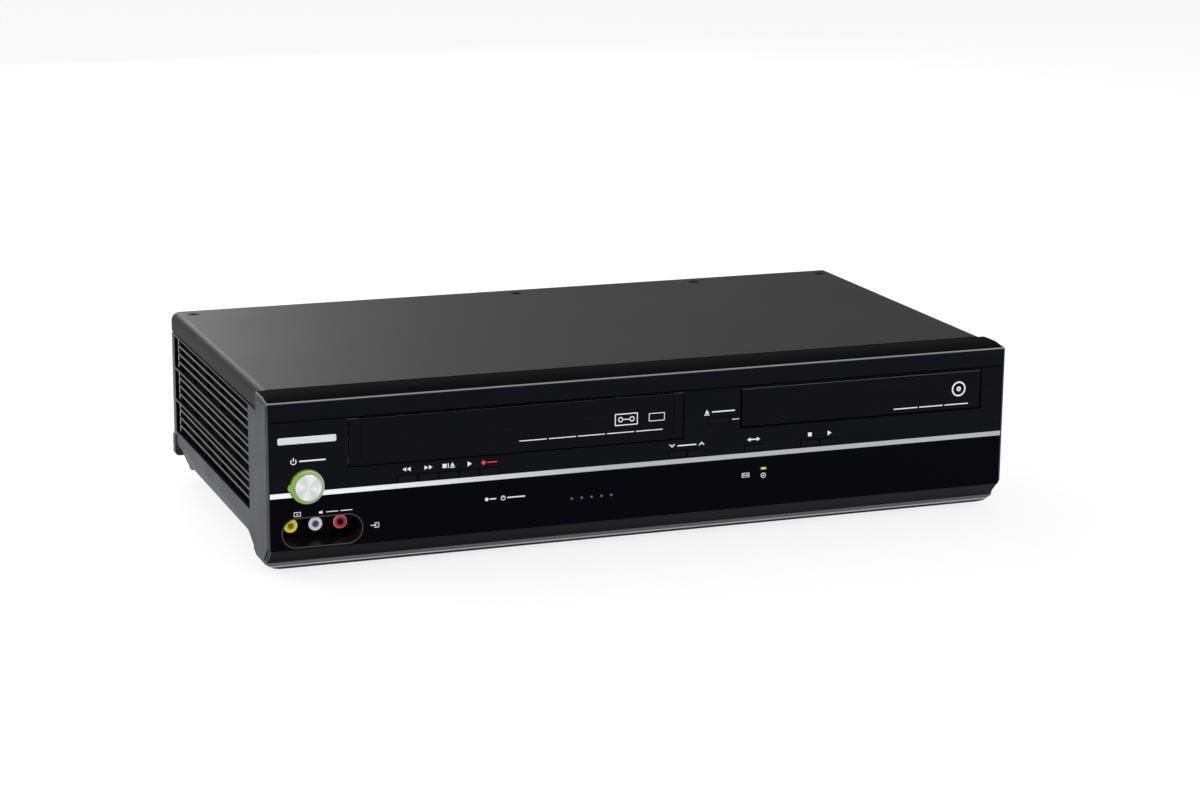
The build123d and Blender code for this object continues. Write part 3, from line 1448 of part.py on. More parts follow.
# Disc tray: a plate with two disc seats, a slot for the turntable that is open at the back, and the rack
slot_half = 19.0
seat_depth = 2.0
small_seat_depth = 0.8
disc_room = 1.0
tray_front_thickness = 2.5
tray_front_round = 0.4
with BuildPart() as disc_tray:
    block(tray_plate_x0, tray_plate_x1, front_y + tray_front_thickness, tray_rear_y, tray_z0, tray_top)
    post(tray_mid, spindle_y, tray_top - seat_depth, tray_top + over, disc_diameter / 2 + disc_room,
         Mode.SUBTRACT)
    post(tray_mid, spindle_y, tray_top - seat_depth - small_seat_depth, tray_top + over,
         small_disc_diameter / 2 + disc_room, Mode.SUBTRACT)
    post(tray_mid, spindle_y, tray_z0 - over, tray_top + over, slot_half, Mode.SUBTRACT)
    block(tray_mid - slot_half, tray_mid + slot_half, spindle_y, tray_rear_y + over, tray_z0 - over,
          tray_top + over, Mode.SUBTRACT)
    with BuildSketch(Plane.XY.offset(tray_z0 - rack_height)) as rack:
        with BuildLine():
            Polyline(rack_outline(), close=True)
        make_face()
    extrude(rack.sketch, amount=rack_height)
save(disc_tray, "disc_tray")

with BuildPart() as tray_front:
    block(tray_x0 + tray_front_gap, tray_x1 - tray_front_gap, front_y, front_y + tray_front_thickness,
          tray_sill + tray_front_gap, tray_front_top - tray_front_gap)
    fillet(tray_front.edges().filter_by_position(Axis.Y, front_y - hair, front_y + hair), tray_front_round)
save(tray_front, "tray_front")

pulley_flange = 1.5
pulley_rim = 0.8
belt_top = belt_z + belt_height
with BuildPart() as tray_gear:
    gear_z0 = tray_z0 - rack_height + slide_gap
    with BuildSketch(Plane.XY.offset(gear_z0)) as teeth_sketch:
        with BuildLine():
            Polyline(gear_outline(gear_x, gear_y, gear_radius, gear_teeth), close=True)
        make_face()
    extrude(teeth_sketch.sketch, amount=rack_height - 2 * slide_gap)
    post(gear_x, gear_y, belt_z, gear_z0, gear_hub)
    post(gear_x, gear_y, pulley_base, belt_z, pulley_radius + pulley_flange)
    post(gear_x, gear_y, belt_z, belt_top, pulley_radius)
    post(gear_x, gear_y, belt_top, belt_top + pulley_rim, pulley_radius + pulley_flange)
    post(gear_x, gear_y, pulley_base - over, tray_z0, gear_shaft + turn_gap, Mode.SUBTRACT)
save(tray_gear, "tray_gear")

# Loading motor and its belt
motor_spacing = 28.0
motor_x = gear_x + motor_spacing
motor_y = gear_y
motor_radius = 10.0
motor_shaft = 1.5
motor_pulley = 4.0
motor_drop = 2.0
motor_top = belt_z - motor_drop
belt_thickness = 1.2
belt_gap = 0.05
belt_inset = 0.1
with BuildPart() as loading_motor:
    post(motor_x, motor_y, loader_base_top, motor_top, motor_radius)
    post(motor_x, motor_y, motor_top - over, belt_top + pulley_rim, motor_shaft)
    post(motor_x, motor_y, belt_z - pulley_rim, belt_z, motor_pulley + pulley_flange)
    post(motor_x, motor_y, belt_z, belt_top, motor_pulley)
    post(motor_x, motor_y, belt_top, belt_top + pulley_rim, motor_pulley + pulley_flange)
save(loading_motor, "loading_motor")


def belt_loop(growth):
    """Outline that wraps both pulleys, grown by an amount."""
    with BuildSketch(Plane.XY.offset(belt_z + belt_inset)) as loop:
        with Locations((gear_x, gear_y)):
            Circle(pulley_radius + growth)
        with Locations((motor_x, motor_y)):
            Circle(motor_pulley + growth)
        make_hull()
    return loop.sketch


with BuildPart() as drive_belt:
    extrude(belt_loop(belt_gap + belt_thickness), amount=belt_height - 2 * belt_inset)
    extrude(belt_loop(belt_gap), amount=belt_height - 2 * belt_inset, mode=Mode.SUBTRACT)
save(drive_belt, "drive_belt")

# Traverse: a plate that tilts down before the tray moves. It carries the disc motor and the pickup's rods.
spindle_radius = 1.5
spindle_foot = 0.4
disc_motor_radius = 13.0
disc_motor_drop = 4.0
disc_motor_top = tray_z0 - disc_motor_drop
rod_radius = 1.5
rod_spread = 22.0
rod_rise = 5.0
rod_front = 9.0
rod_length = 74.0
rod_z = traverse_z1 + rod_rise
rod_y0 = spindle_y + rod_front
rod_y1 = rod_y0 + rod_length
holder_block = 4.0
holder_block_width = 6.0
press_gap = 0.02
pickup_window = 32.0
pickup_window_length = 60.0
pickup_window_front = 18.0
pickup_window_y = spindle_y + pickup_window_front
tilt_pin_root = 4.0
spindle_low = traverse_z1 + spindle_foot
with BuildPart() as traverse_plate:
    block(tray_mid - traverse_half, tray_mid + traverse_half, traverse_y0, traverse_y1, traverse_z0,
          traverse_z1)
    block(tray_mid - pickup_window / 2, tray_mid + pickup_window / 2, pickup_window_y,
          pickup_window_y + pickup_window_length, traverse_z0 - over, traverse_z1 + over, Mode.SUBTRACT)
    post(tray_mid, spindle_y, traverse_z1, disc_motor_top, disc_motor_radius)
    post(tray_mid, spindle_y, spindle_low, disc_motor_top + over, spindle_radius + turn_gap, Mode.SUBTRACT)
    for side in (-1, 1):
        for y in (rod_y0, rod_y1 - holder_block):
            x = tray_mid + side * rod_spread
            block(x - holder_block_width / 2, x + holder_block_width / 2, y, y + holder_block, traverse_z1,
                  rod_z + holder_block_width / 2)
        rod(tray_mid + side * rod_spread, rod_z, rod_y0 - over, rod_y1 + over, rod_radius + press_gap,
            Mode.SUBTRACT)
        pin_a = tray_mid + side * (traverse_half - tilt_pin_root)
        pin_b = tray_mid + side * (window_half + lug_width)
        cross_pin(tilt_y, tilt_z, min(pin_a, pin_b), max(pin_a, pin_b), tilt_pin)
save(traverse_plate, "traverse_plate")

with BuildPart() as pickup_rods:
    for side in (-1, 1):
        rod(tray_mid + side * rod_spread, rod_z, rod_y0, rod_y1, rod_radius)
save(pickup_rods, "pickup_rods")

disc_lift = 0.7
disc_seat_z = tray_top - seat_depth + disc_lift
hub_height = 2.1
hub_radius = 7.4
hub_bevel = 1.2
turntable_radius = 15.0
turntable_gap = 0.8
with BuildPart() as turntable:
    post(tray_mid, spindle_y, disc_motor_top + turntable_gap, disc_seat_z, turntable_radius)
    post(tray_mid, spindle_y, disc_seat_z, disc_seat_z + hub_height, hub_radius)
    hub_edge = turntable.edges().filter_by(GeomType.CIRCLE).sort_by(Axis.Z)[-1]
    chamfer(hub_edge, hub_bevel)
    post(tray_mid, spindle_y, spindle_low + spindle_foot, disc_motor_top + over, spindle_radius)
save(turntable, "turntable")

pickup_width = 34.0
pickup_depth = 26.0
pickup_front = 15.0
pickup_below = 3.0
pickup_above = 5.0
pickup_y0 = spindle_y + pickup_front
pickup_z0 = rod_z - pickup_below
pickup_z1 = rod_z + pickup_above
ear_reach = 3.5
ear_inset = 3.0
lens_radius = 4.0
lens_inset = 10.0
lens_drop = 0.8
with BuildPart() as optical_pickup:
    block(tray_mid - pickup_width / 2, tray_mid + pickup_width / 2, pickup_y0, pickup_y0 + pickup_depth,
          pickup_z0, pickup_z1)
    for side in (-1, 1):
        x = tray_mid + side * rod_spread
        ear_a = tray_mid + side * (pickup_width / 2 - over)
        ear_b = x + side * ear_reach
        block(min(ear_a, ear_b), max(ear_a, ear_b), pickup_y0 + ear_inset,
              pickup_y0 + pickup_depth - ear_inset,
              pickup_z0, rod_z + pickup_below)
        rod(x, rod_z, pickup_y0 - over, pickup_y0 + pickup_depth + over, rod_radius + turn_gap,
            Mode.SUBTRACT)
    post(tray_mid, pickup_y0 + lens_inset, pickup_z1, tray_z0 - lens_drop, lens_radius)
save(optical_pickup, "optical_pickup")

# Clamp: a steel bridge over the tray and the loose puck that hangs in its hole
bridge_half = 16.0
bridge_thickness = 1.2
puck_radius = 12.5
puck_rim = 16.0
puck_rim_height = 1.5
puck_lift = 0.4
puck_hole_room = 0.7
bridge_z1 = loader_top + bridge_thickness
with BuildPart() as clamp_bridge:
    block(loader_x0, loader_x1, spindle_y - bridge_half, spindle_y + bridge_half, loader_top, bridge_z1)
    post(tray_mid, spindle_y, loader_top - over, bridge_z1 + over, puck_radius + puck_hole_room,
         Mode.SUBTRACT)
save(clamp_bridge, "clamp_bridge")

with BuildPart() as clamp_puck:
    puck_z0 = disc_seat_z + hub_height + puck_lift
    puck_z1 = bridge_z1 + slide_gap
    post(tray_mid, spindle_y, puck_z0, puck_z1, puck_radius)
    post(tray_mid, spindle_y, puck_z1, puck_z1 + puck_rim_height, puck_rim)
save(clamp_puck, "clamp_puck")
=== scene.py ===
# %% [markdown]
# # A deck for cassettes and discs
#
# The construction of this home video deck comes from CAD as a fixed frame: every piece at its real size, in
# metres, with X to the viewer's right, Y to the back and Z up. This lesson gives it its looks. It sets the
# camera and the studio, writes one procedural finish for each real material and lit and shaded copies for
# painted light and shade, breaks the sharp edges of the CAD pieces, and adds printed signs, black sheets of
# painted shade behind the vents, a bare plate, rings in the jacks, and screws.

# %% The fixed frame
import json
import math

import bpy
from mathutils import Matrix, Vector

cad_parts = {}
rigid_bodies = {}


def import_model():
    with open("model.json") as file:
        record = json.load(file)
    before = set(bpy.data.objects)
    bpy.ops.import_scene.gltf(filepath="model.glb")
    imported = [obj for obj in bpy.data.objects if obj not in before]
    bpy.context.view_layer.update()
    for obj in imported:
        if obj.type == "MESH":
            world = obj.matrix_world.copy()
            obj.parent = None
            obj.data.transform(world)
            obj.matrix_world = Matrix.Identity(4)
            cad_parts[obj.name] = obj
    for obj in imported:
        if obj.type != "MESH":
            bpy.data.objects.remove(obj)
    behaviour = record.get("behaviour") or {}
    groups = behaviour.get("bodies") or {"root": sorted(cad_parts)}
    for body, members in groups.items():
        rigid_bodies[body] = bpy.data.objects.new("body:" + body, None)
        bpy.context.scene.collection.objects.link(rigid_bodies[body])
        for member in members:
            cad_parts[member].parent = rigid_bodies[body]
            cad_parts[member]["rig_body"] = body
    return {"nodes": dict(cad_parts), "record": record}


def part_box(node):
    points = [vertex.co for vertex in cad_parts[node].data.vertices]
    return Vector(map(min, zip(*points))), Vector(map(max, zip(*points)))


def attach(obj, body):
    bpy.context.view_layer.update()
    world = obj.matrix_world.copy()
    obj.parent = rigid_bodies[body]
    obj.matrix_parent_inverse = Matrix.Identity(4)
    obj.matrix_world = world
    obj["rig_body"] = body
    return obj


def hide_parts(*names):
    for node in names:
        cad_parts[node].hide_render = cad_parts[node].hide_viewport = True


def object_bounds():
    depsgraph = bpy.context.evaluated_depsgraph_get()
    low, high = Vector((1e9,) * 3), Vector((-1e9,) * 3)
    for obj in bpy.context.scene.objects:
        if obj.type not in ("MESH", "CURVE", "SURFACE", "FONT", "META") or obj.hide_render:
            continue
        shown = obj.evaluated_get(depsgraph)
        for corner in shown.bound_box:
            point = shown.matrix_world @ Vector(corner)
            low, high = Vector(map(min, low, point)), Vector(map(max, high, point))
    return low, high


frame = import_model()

cad_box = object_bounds()
mm = 0.001
slots = {part["node"]: part.get("material_slot") for part in frame["record"]["subparts"]}
print("pieces in the frame:", len(frame["nodes"]))
print("size of the deck:", [round(c, 4) for c in cad_box[1] - cad_box[0]])

# %% [markdown]
# ## The camera
#
# A camera can be matched to a photograph by trying lenses until the edges line up. Here its place was solved
# from the corners of the case, so it is written as a place, two angles of sight and a slight roll. The three
# axes of the camera make its rotation matrix, which is safer than Euler angles when a roll is involved.

# %% Camera
camera_place = Vector((-0.56887, -1.5413, 0.45365))
azimuth = math.radians(-20.69)
elevation = math.radians(13.59)
roll = math.radians(0.52)
focal_length = 86.06

toward = Vector((math.sin(azimuth) * math.cos(elevation), -math.cos(azimuth) * math.cos(elevation),
                 math.sin(elevation)))
level_right = Vector((math.cos(azimuth), math.sin(azimuth), 0))
level_up = toward.cross(level_right)
right = math.cos(roll) * level_right + math.sin(roll) * level_up
up = math.cos(roll) * level_up - math.sin(roll) * level_right

bpy.ops.object.select_all(action="DESELECT")
bpy.ops.object.camera_add()
camera = bpy.context.object
camera.name = "camera"
camera.data.lens = focal_length
camera.data.sensor_width = 36
camera.data.clip_start = 0.05
axes = Matrix((right, up, toward)).transposed().to_4x4()
axes.translation = camera_place
camera.matrix_world = axes
bpy.context.scene.camera = camera
bpy.context.scene.view_settings.view_transform = "Standard"
print("camera is", round(camera_place.length, 3), "m from the deck's foot")

# %% [markdown]
# ## Shader maths that reads like maths
#
# A material is a tree of nodes. Wiring each one by hand hides what the pattern means, so a small class wraps
# one output and turns plus, minus, times and power into Math nodes. A second class holds the material under
# construction and adds every other node through one method.


# %% Wires and paints
class Wire:
    """One output of a shader node. Sums on it add Math nodes."""

    def __init__(self, paint, socket):
        self.paint = paint
        self.socket = socket

    def __add__(self, other):
        return self.paint.maths("ADD", self, other)

    __radd__ = __add__

    def __sub__(self, other):
        return self.paint.maths("SUBTRACT", self, other)

    def __rsub__(self, other):
        return self.paint.maths("SUBTRACT", other, self)

    def __mul__(self, other):
        return self.paint.maths("MULTIPLY", self, other)

    __rmul__ = __mul__

    def __pow__(self, other):
        return self.paint.maths("POWER", self, other)


class Paint:
    """A node tree under construction."""

    def __init__(self, name, tree=None):
        if tree is None:
            self.material = bpy.data.materials.new(name)
            self.material.use_nodes = True
            tree = self.material.node_tree
        self.tree = tree
        self.tree.nodes.clear()

    def node(self, kind, settings, inputs, output=0):
        """Adds a node. Its settings come first, then the values or links of its sockets."""
        made = self.tree.nodes.new("ShaderNode" + kind)
        for key, value in settings.items():
            if key == "stops":
                for place, (position, grey) in enumerate(value):
                    stop = made.color_ramp.elements[place]
                    stop.position = position
                    stop.color = (grey, grey, grey, 1)
            else:
                setattr(made, key, value)
        for key, value in inputs.items():
            socket = made.inputs[key]
            if isinstance(value, Wire):
                self.tree.links.new(value.socket, socket)
            elif socket.type == "RGBA":
                socket.default_value = (*value, 1)
            else:
                socket.default_value = value
        return Wire(self, made.outputs[output])

    def maths(self, operation, first, second=0.0):
        return self.node("Math", {"operation": operation}, {0: first, 1: second})

    def place(self):
        """Where a point lies, in metres, in the deck's own frame."""
        return self.node("TexCoord", {}, {}, "Object")

    def axes(self):
        """The same place as three numbers."""
        place = self.place()
        return [self.node("SeparateXYZ", {}, {0: place}, axis) for axis in "XYZ"]

    def noise(self, size, stretch=(1, 1, 1), detail=2.0):
        """Soft random patches about as wide as size, drawn out where stretch is small."""
        scaled = self.node("Mapping", {}, {"Vector": self.place(), "Scale": stretch})
        return self.node("TexNoise", {}, {"Vector": scaled, "Scale": 1 / size, "Detail": detail})

    def contrast(self, wire, low, high):
        """Stretches a noise to the full range from 0 to 1 between two levels."""
        return self.node("ValToRGB", {"stops": [(low, 0), (high, 1)]}, {0: wire})

    def blend(self, factor, first, second):
        return self.node("Mix", {"data_type": "RGBA"}, {0: factor, 6: first, 7: second}, 2)

    def along(self, axis, start, end):
        """Grows from 0 at start to 1 at end, in metres along an axis."""
        wire = self.axes()["XYZ".index(axis)]
        return self.node("MapRange", {}, {"Value": wire, "From Min": start, "From Max": end})

    def grained(self, grain, colour, low, high, fade=None):
        """A colour that a grain makes darker and lighter, and that may carry a painted fade of light along an
        axis.

        Fade names the axis, where the fade starts and ends, and the factor that it reaches there.
        """
        tone = self.blend(grain, shade(colour, low), shade(colour, high))
        if fade:
            axis, start, end, factor = fade
            far = self.blend(grain, shade(colour, low * factor), shade(colour, high * factor))
            tone = self.blend(self.along(axis, start, end), tone, far)
        return tone

    def bump(self, height, depth):
        return self.node("Bump", {}, {"Height": height, "Distance": depth, "Strength": 1.0})

    def surface(self, **inputs):
        """Ends the tree in a Principled shader. Spaces in a socket's name are written as underscores."""
        named = {key.replace("_", " "): value for key, value in inputs.items()}
        shader = self.node("BsdfPrincipled", {}, named)
        self.end(shader)
        return self.material

    def end(self, shader):
        output = self.tree.nodes.new("ShaderNodeOutputMaterial")
        self.tree.links.new(shader.socket, output.inputs[0])


def shade(colour, factor):
    """A colour made lighter or darker."""
    return tuple(min(1.0, c * factor) for c in colour)


# %% [markdown]
# ## The studio
#
# The photograph has a pure white ground with a soft grey shadow. A floor bright enough to turn white would
# also throw light up at the deck and wash it out. So the floor is a plain pale one to the light, and only to
# the camera and to mirrors it glows a little, which lifts it to white and keeps the shadow. The sky does the
# same: it lights at a plain level and looks white.

# %% Floor, sky and lamps
sky_level = 0.36
floor_glow = 0.62
floor_white = 1.3
floor_size = 14.0
floor_colour = (0.86, 0.86, 0.87)
lamp_target = Vector((0, 0, 0.05))


def seen_directly(paint):
    """1 for camera, mirror and glass rays, and 0 for light that bounces."""
    rays = [paint.node("LightPath", {}, {}, name)
            for name in ("Is Camera Ray", "Is Glossy Ray", "Is Transmission Ray")]
    return paint.maths("MAXIMUM", paint.maths("MAXIMUM", rays[0], rays[1]), rays[2])


bpy.ops.mesh.primitive_plane_add(size=floor_size)
floor = bpy.context.object
floor.name = "floor"
ground = Paint("floor_white")
matt = ground.node("BsdfDiffuse", {}, {"Color": floor_colour})
glow = ground.node("Emission", {}, {"Color": (1, 1, 1), "Strength": floor_white})
ground.end(ground.node("MixShader", {}, {0: seen_directly(ground) * floor_glow, 1: matt, 2: glow}))
floor.data.materials.append(ground.material)

world = bpy.data.worlds.new("sky")
bpy.context.scene.world = world
world.use_nodes = True
sky = Paint("sky", world.node_tree)
strength = sky_level + (1 - sky_level) * seen_directly(sky)
light = sky.node("Background", {}, {"Color": (1, 1, 1), "Strength": strength})
sky.tree.links.new(light.socket, sky.tree.nodes.new("ShaderNodeOutputWorld").inputs[0])


def lamp(name, place, size, power):
    """A square soft box that looks at the deck's middle."""
    bpy.ops.object.light_add(type="AREA", location=place)
    made = bpy.context.object
    made.name = name
    made.data.size = size
    made.data.energy = power
    made.rotation_euler = (lamp_target - Vector(place)).to_track_quat("-Z", "Y").to_euler()


lamp("key_lamp", (-2.0, 0.7, 1.3), 1.3, 18)
lamp("rear_lamp", (-0.1, 1.9, 0.75), 0.6, 19)
lamp("front_lamp", (0.5, -2.4, 1.5), 1.6, 22)

# %% [markdown]
# ## Finishes
#
# Each real material has a short function. Paint on sheet steel has a fine orange skin. Moulded plastic has
# the grain of its mould. The fascia carries thin level lines. Metals are brushed along one axis or turned
# about a centre. Sizes in these patterns are real sizes, because they read Object coordinates, which are
# metres in the deck's own frame. The level is how strongly a surface mirrors. It is kept low on dark parts,
# because a white studio would turn them grey.


# %% Painted and moulded finishes
def textured_paint(name, colour, roughness, grain, depth, level, fade=None):
    """Baked paint: a fine skin, and a slow change of tone that keeps a large sheet from looking flat."""
    paint = Paint(name)
    slow = paint.noise(0.09, detail=3.0)
    skin = paint.noise(grain)
    return paint.surface(
        Base_Color=paint.grained(slow, colour, 0.88, 1.12, fade),
        Roughness=roughness - 0.04 + 0.08 * slow,
        Specular_IOR_Level=level,
        Normal=paint.bump(skin, depth))


def moulded(name, colour, roughness=0.5, grain=0.5 * mm, depth=0.02 * mm, level=0.3, fade=None):
    """Plastic from an eroded mould: even colour, small pits, and smoother patches where hands rub it."""
    paint = Paint(name)
    pits = paint.noise(grain, detail=1.0)
    rubbed = paint.contrast(paint.noise(0.02), 0.4, 0.65)
    return paint.surface(
        Base_Color=paint.grained(pits, colour, 0.92, 1.08, fade),
        Roughness=roughness - 0.05 * rubbed,
        Specular_IOR_Level=level,
        Normal=paint.bump(pits, depth))


def gloss(name, colour, roughness=0.08, level=0.1):
    """Polished plastic: a long soft waviness, as a moulding has, and faint dust that dulls the gloss."""
    paint = Paint(name)
    wave = paint.noise(0.035, detail=0.0)
    dust = paint.contrast(paint.noise(0.8 * mm, detail=4.0), 0.62, 0.8)
    return paint.surface(
        Base_Color=paint.blend(dust, colour, shade(colour, 1.6)),
        Roughness=roughness + 0.12 * dust,
        Specular_IOR_Level=level,
        Normal=paint.bump(wave, 0.01 * mm))


def hairline_black(name, colour, level):
    """Satin black with fine lines along X."""
    paint = Paint(name)
    lines = paint.noise(0.35 * mm, stretch=(0.006, 1, 1), detail=3.0)
    lines = paint.contrast(lines, 0.3, 0.7)
    return paint.surface(
        Base_Color=paint.blend(lines, shade(colour, 0.7), shade(colour, 1.35)),
        Roughness=0.3 + 0.12 * lines,
        Specular_IOR_Level=level,
        Normal=paint.bump(lines, 0.006 * mm))


# %% [markdown]
# The bright parts are real metals, so their colour tints what they mirror. Their patterns differ: lines from
# a brush, flakes from a zinc bath, rings from a lathe, and next to nothing on a ground shaft.


# %% Metal finishes
def brushed(name, colour, roughness=0.3, stretch=(0.01, 1, 1), line=0.25 * mm, depth=0.004 * mm, fade=None):
    """Metal with fine lines along the axis where stretch is small."""
    paint = Paint(name)
    lines = paint.contrast(paint.noise(line, stretch, 3.0), 0.25, 0.75)
    return paint.surface(
        Base_Color=paint.grained(lines, colour, 0.88, 1.08, fade),
        Metallic=1.0,
        Roughness=roughness - 0.06 + 0.12 * lines,
        Normal=paint.bump(lines, depth))


def plated(name, colour, roughness=0.25, flake=4 * mm, contrast=0.16):
    """Zinc or nickel on sheet steel: faint flakes in different tones."""
    paint = Paint(name)
    flakes = paint.node("TexVoronoi", {}, {"Vector": paint.place(), "Scale": 1 / flake}, "Color")
    tone = paint.node("SeparateColor", {}, {0: flakes})
    return paint.surface(
        Base_Color=paint.blend(tone, shade(colour, 1 - contrast), shade(colour, 1 + contrast / 2)),
        Metallic=1.0,
        Roughness=roughness + 0.1 * tone)


def turned(name, colour, centre, roughness=0.2, pitch=0.3 * mm):
    """Metal from a lathe: rings about an upright axis."""
    paint = Paint(name)
    x, y, _ = paint.axes()
    radius = ((x - centre.x) ** 2.0 + (y - centre.y) ** 2.0) ** 0.5
    rings = 0.5 + 0.5 * paint.maths("SINE", radius * (math.tau / pitch))
    return paint.surface(
        Base_Color=paint.blend(rings, shade(colour, 0.9), colour),
        Metallic=1.0,
        Roughness=roughness + 0.08 * rings,
        Normal=paint.bump(rings, 0.003 * mm))


def polished(name, colour, roughness=0.12):
    """Ground steel or bright plating, with a few dull smears."""
    paint = Paint(name)
    smear = paint.noise(3 * mm, detail=3.0)
    return paint.surface(
        Base_Color=paint.blend(smear, shade(colour, 0.92), colour),
        Metallic=1.0,
        Roughness=roughness + 0.1 * smear)


# %% [markdown]
# A knob brushed in circles shows bright and dark wedges, because each line mirrors the lamps when it lies
# across the view. The wedges hardly move for a viewer in front, so they are painted by angle about the
# button's centre. The ring round it is clear green plastic with a lamp behind, brighter on the lamp's side.

# %% Finishes of the power button
ring_low, ring_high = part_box("power_ring")
button_low, button_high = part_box("power_button")
power_centre = (button_low + button_high) / 2
ring_radius = (ring_high.z - ring_low.z) / 2
ring_width = 2.0 * mm
ring_share = ring_width / ring_radius
ring_rims = 1.6
wedges = 4.0
wedge_turn = 1.0
circle_pitch = 0.28 * mm
print("green ring:", round(ring_radius / mm, 2), "mm in radius")


def wedge_metal(name, colour, centre):
    """Metal brushed in circles, with four soft wedges of painted reflection."""
    paint = Paint(name)
    x, _, z = paint.axes()
    dx = x - centre.x
    dz = z - centre.z
    angle = paint.maths("ARCTAN2", dz, dx)
    fan = 0.5 + 0.5 * paint.maths("COSINE", wedges * angle + wedge_turn)
    radius = (dx ** 2.0 + dz ** 2.0) ** 0.5
    rings = 0.5 + 0.5 * paint.maths("SINE", radius * (math.tau / circle_pitch))
    tone = 0.75 * fan + 0.25 * rings
    return paint.surface(
        Base_Color=paint.blend(tone, shade(colour, 0.8), shade(colour, 1.1)),
        Metallic=0.6,
        Roughness=0.32 + 0.08 * rings,
        Normal=paint.bump(rings, 0.002 * mm))


def lit_ring(name, deep, pale, centre, radius):
    """Clear green plastic: fresh green by its lamp on the left, greyer to the right, with two pale rims."""
    paint = Paint(name)
    x, _, z = paint.axes()
    dx = x - centre.x
    dz = z - centre.z
    side = paint.contrast(0.5 + dx * (0.5 / radius), 0.1, 0.9)
    inward = 1.0 - ((dx ** 2.0 + dz ** 2.0) ** 0.5) * (1 / radius)
    rims = 0.5 - 0.5 * paint.maths("COSINE", inward * (ring_rims * math.tau / ring_share))
    near = paint.blend(rims, deep[0], deep[1])
    far = paint.blend(rims, pale[0], pale[1])
    colour = paint.blend(side, near, far)
    return paint.surface(
        Base_Color=colour,
        Roughness=0.1 + 0.1 * rims,
        Specular_IOR_Level=0.5,
        Emission_Color=colour,
        Emission_Strength=0.28)


# %% [markdown]
# Ink and bright plastic scatter light under their skin, and so keep their colour in the shade. A faint glow
# of the same colour stands for that, and costs less than real scattering.


# %% Finishes of ink and of coloured plastic
def printed_ink(name, colour, lift):
    """Screen print: thick ink that scatters light, so it keeps its colour on a dark panel."""
    paint = Paint(name)
    weave = paint.noise(0.25 * mm)
    tone = paint.blend(weave, shade(colour, 0.94), colour)
    return paint.surface(
        Base_Color=tone,
        Roughness=0.5 + 0.1 * weave,
        Emission_Color=tone,
        Emission_Strength=lift)


def lively(name, colour, lift):
    """Bright moulded plastic. Light wanders inside it, which lifts the shaded parts."""
    paint = Paint(name)
    cloud = paint.noise(1.5 * mm, detail=1.0)
    tone = paint.blend(cloud, shade(colour, 0.9), shade(colour, 1.05))
    return paint.surface(
        Base_Color=tone,
        Roughness=0.22 + 0.08 * cloud,
        Specular_IOR_Level=0.4,
        Emission_Color=tone,
        Emission_Strength=lift)


# %% [markdown]
# The last three are seen through openings, or are very small: lacquered boards with their tracks, dusty
# rubber, and the light pipes in the window. A light pipe is bright in its middle and fades to its rim.


# %% Finishes of boards, rubber and light pipes
def circuit_board(name, colour, copper, pitch):
    """A printed board: tracks under the lacquer, which run one way in some fields and across in others."""
    paint = Paint(name)
    x, y, _ = paint.axes()
    along = paint.contrast(paint.maths("SINE", x * (math.tau / pitch)), 0.55, 0.75)
    across = paint.contrast(paint.maths("SINE", y * (math.tau / pitch)), 0.55, 0.75)
    fields = paint.contrast(paint.noise(9 * mm, detail=0.0), 0.48, 0.5)
    tracks = along * fields + across * (1 - fields)
    return paint.surface(
        Base_Color=paint.blend(tracks, colour, copper),
        Roughness=0.35 + 0.1 * tracks,
        Normal=paint.bump(tracks, 0.03 * mm))


def rubber(name, colour):
    """Dull rubber with dust in its pores."""
    paint = Paint(name)
    dust = paint.noise(0.6 * mm, detail=4.0)
    return paint.surface(
        Base_Color=paint.blend(dust, colour, shade(colour, 1.7)),
        Roughness=0.78 + 0.12 * dust,
        Specular_IOR_Level=0.25,
        Normal=paint.bump(dust, 0.02 * mm))


def glowing(name, colour, first, half, pitch=1.0):
    """Light pipes in a row: first is the middle of the first one, and half is half of the lit size.

    Where no pitch is given, the next one would be a metre away, so there is only one.
    """
    paint = Paint(name)
    x, _, z = paint.axes()
    beside = paint.maths("PINGPONG", x - first[0], pitch / 2) * (1 / half[0])
    above = (z - first[1]) * (1 / half[1])
    away = (beside ** 4.0 + above ** 4.0) ** 0.25
    rim = paint.contrast(away, 0.75, 1.0)
    return paint.surface(
        Base_Color=shade(colour, 0.1),
        Roughness=0.25,
        Emission_Color=paint.blend(rim, colour, shade(colour, 0.02)),
        Emission_Strength=1.0)


# %% [markdown]
# ### The finishes in use
#
# Colours are written as linear values, which are lower than the eye expects: a case that looks mid grey
# throws back six per cent of the light. The case alone takes a dozen tones, which are painted light and
# shade: lit and shaded copies of one plastic for faces turned different ways. Four finishes fade along an
# axis, which is painted light and shade.

# %% Finishes of the case
# Painted light and shade: the cover darkens to the right, the case plastic darkens towards the top of its
# band, the slope lightens to the right, and the strip darkens from its left end.
cover_painted_light = ("X", -0.22, 0.2, 0.5)
case_painted_shade = ("Z", 0.076, 0.094, 0.5)
slope_painted_light = ("X", -0.2, 0.2, 2.0)
strip_painted_light = ("X", -0.18, -0.03, 0.5)
cover_grey = textured_paint("cover_paint", (0.036, 0.036, 0.0378), 0.5, 0.45 * mm, 0.03 * mm, 0.018,
                            cover_painted_light)
rear_grey = textured_paint("rear_paint", (0.05, 0.052, 0.055), 0.5, 0.6 * mm, 0.02 * mm, 0.25)
case_grey = moulded("case_plastic", (0.055, 0.058, 0.0635), 0.46, 0.6 * mm, 0.02 * mm, 0.1, case_painted_shade)
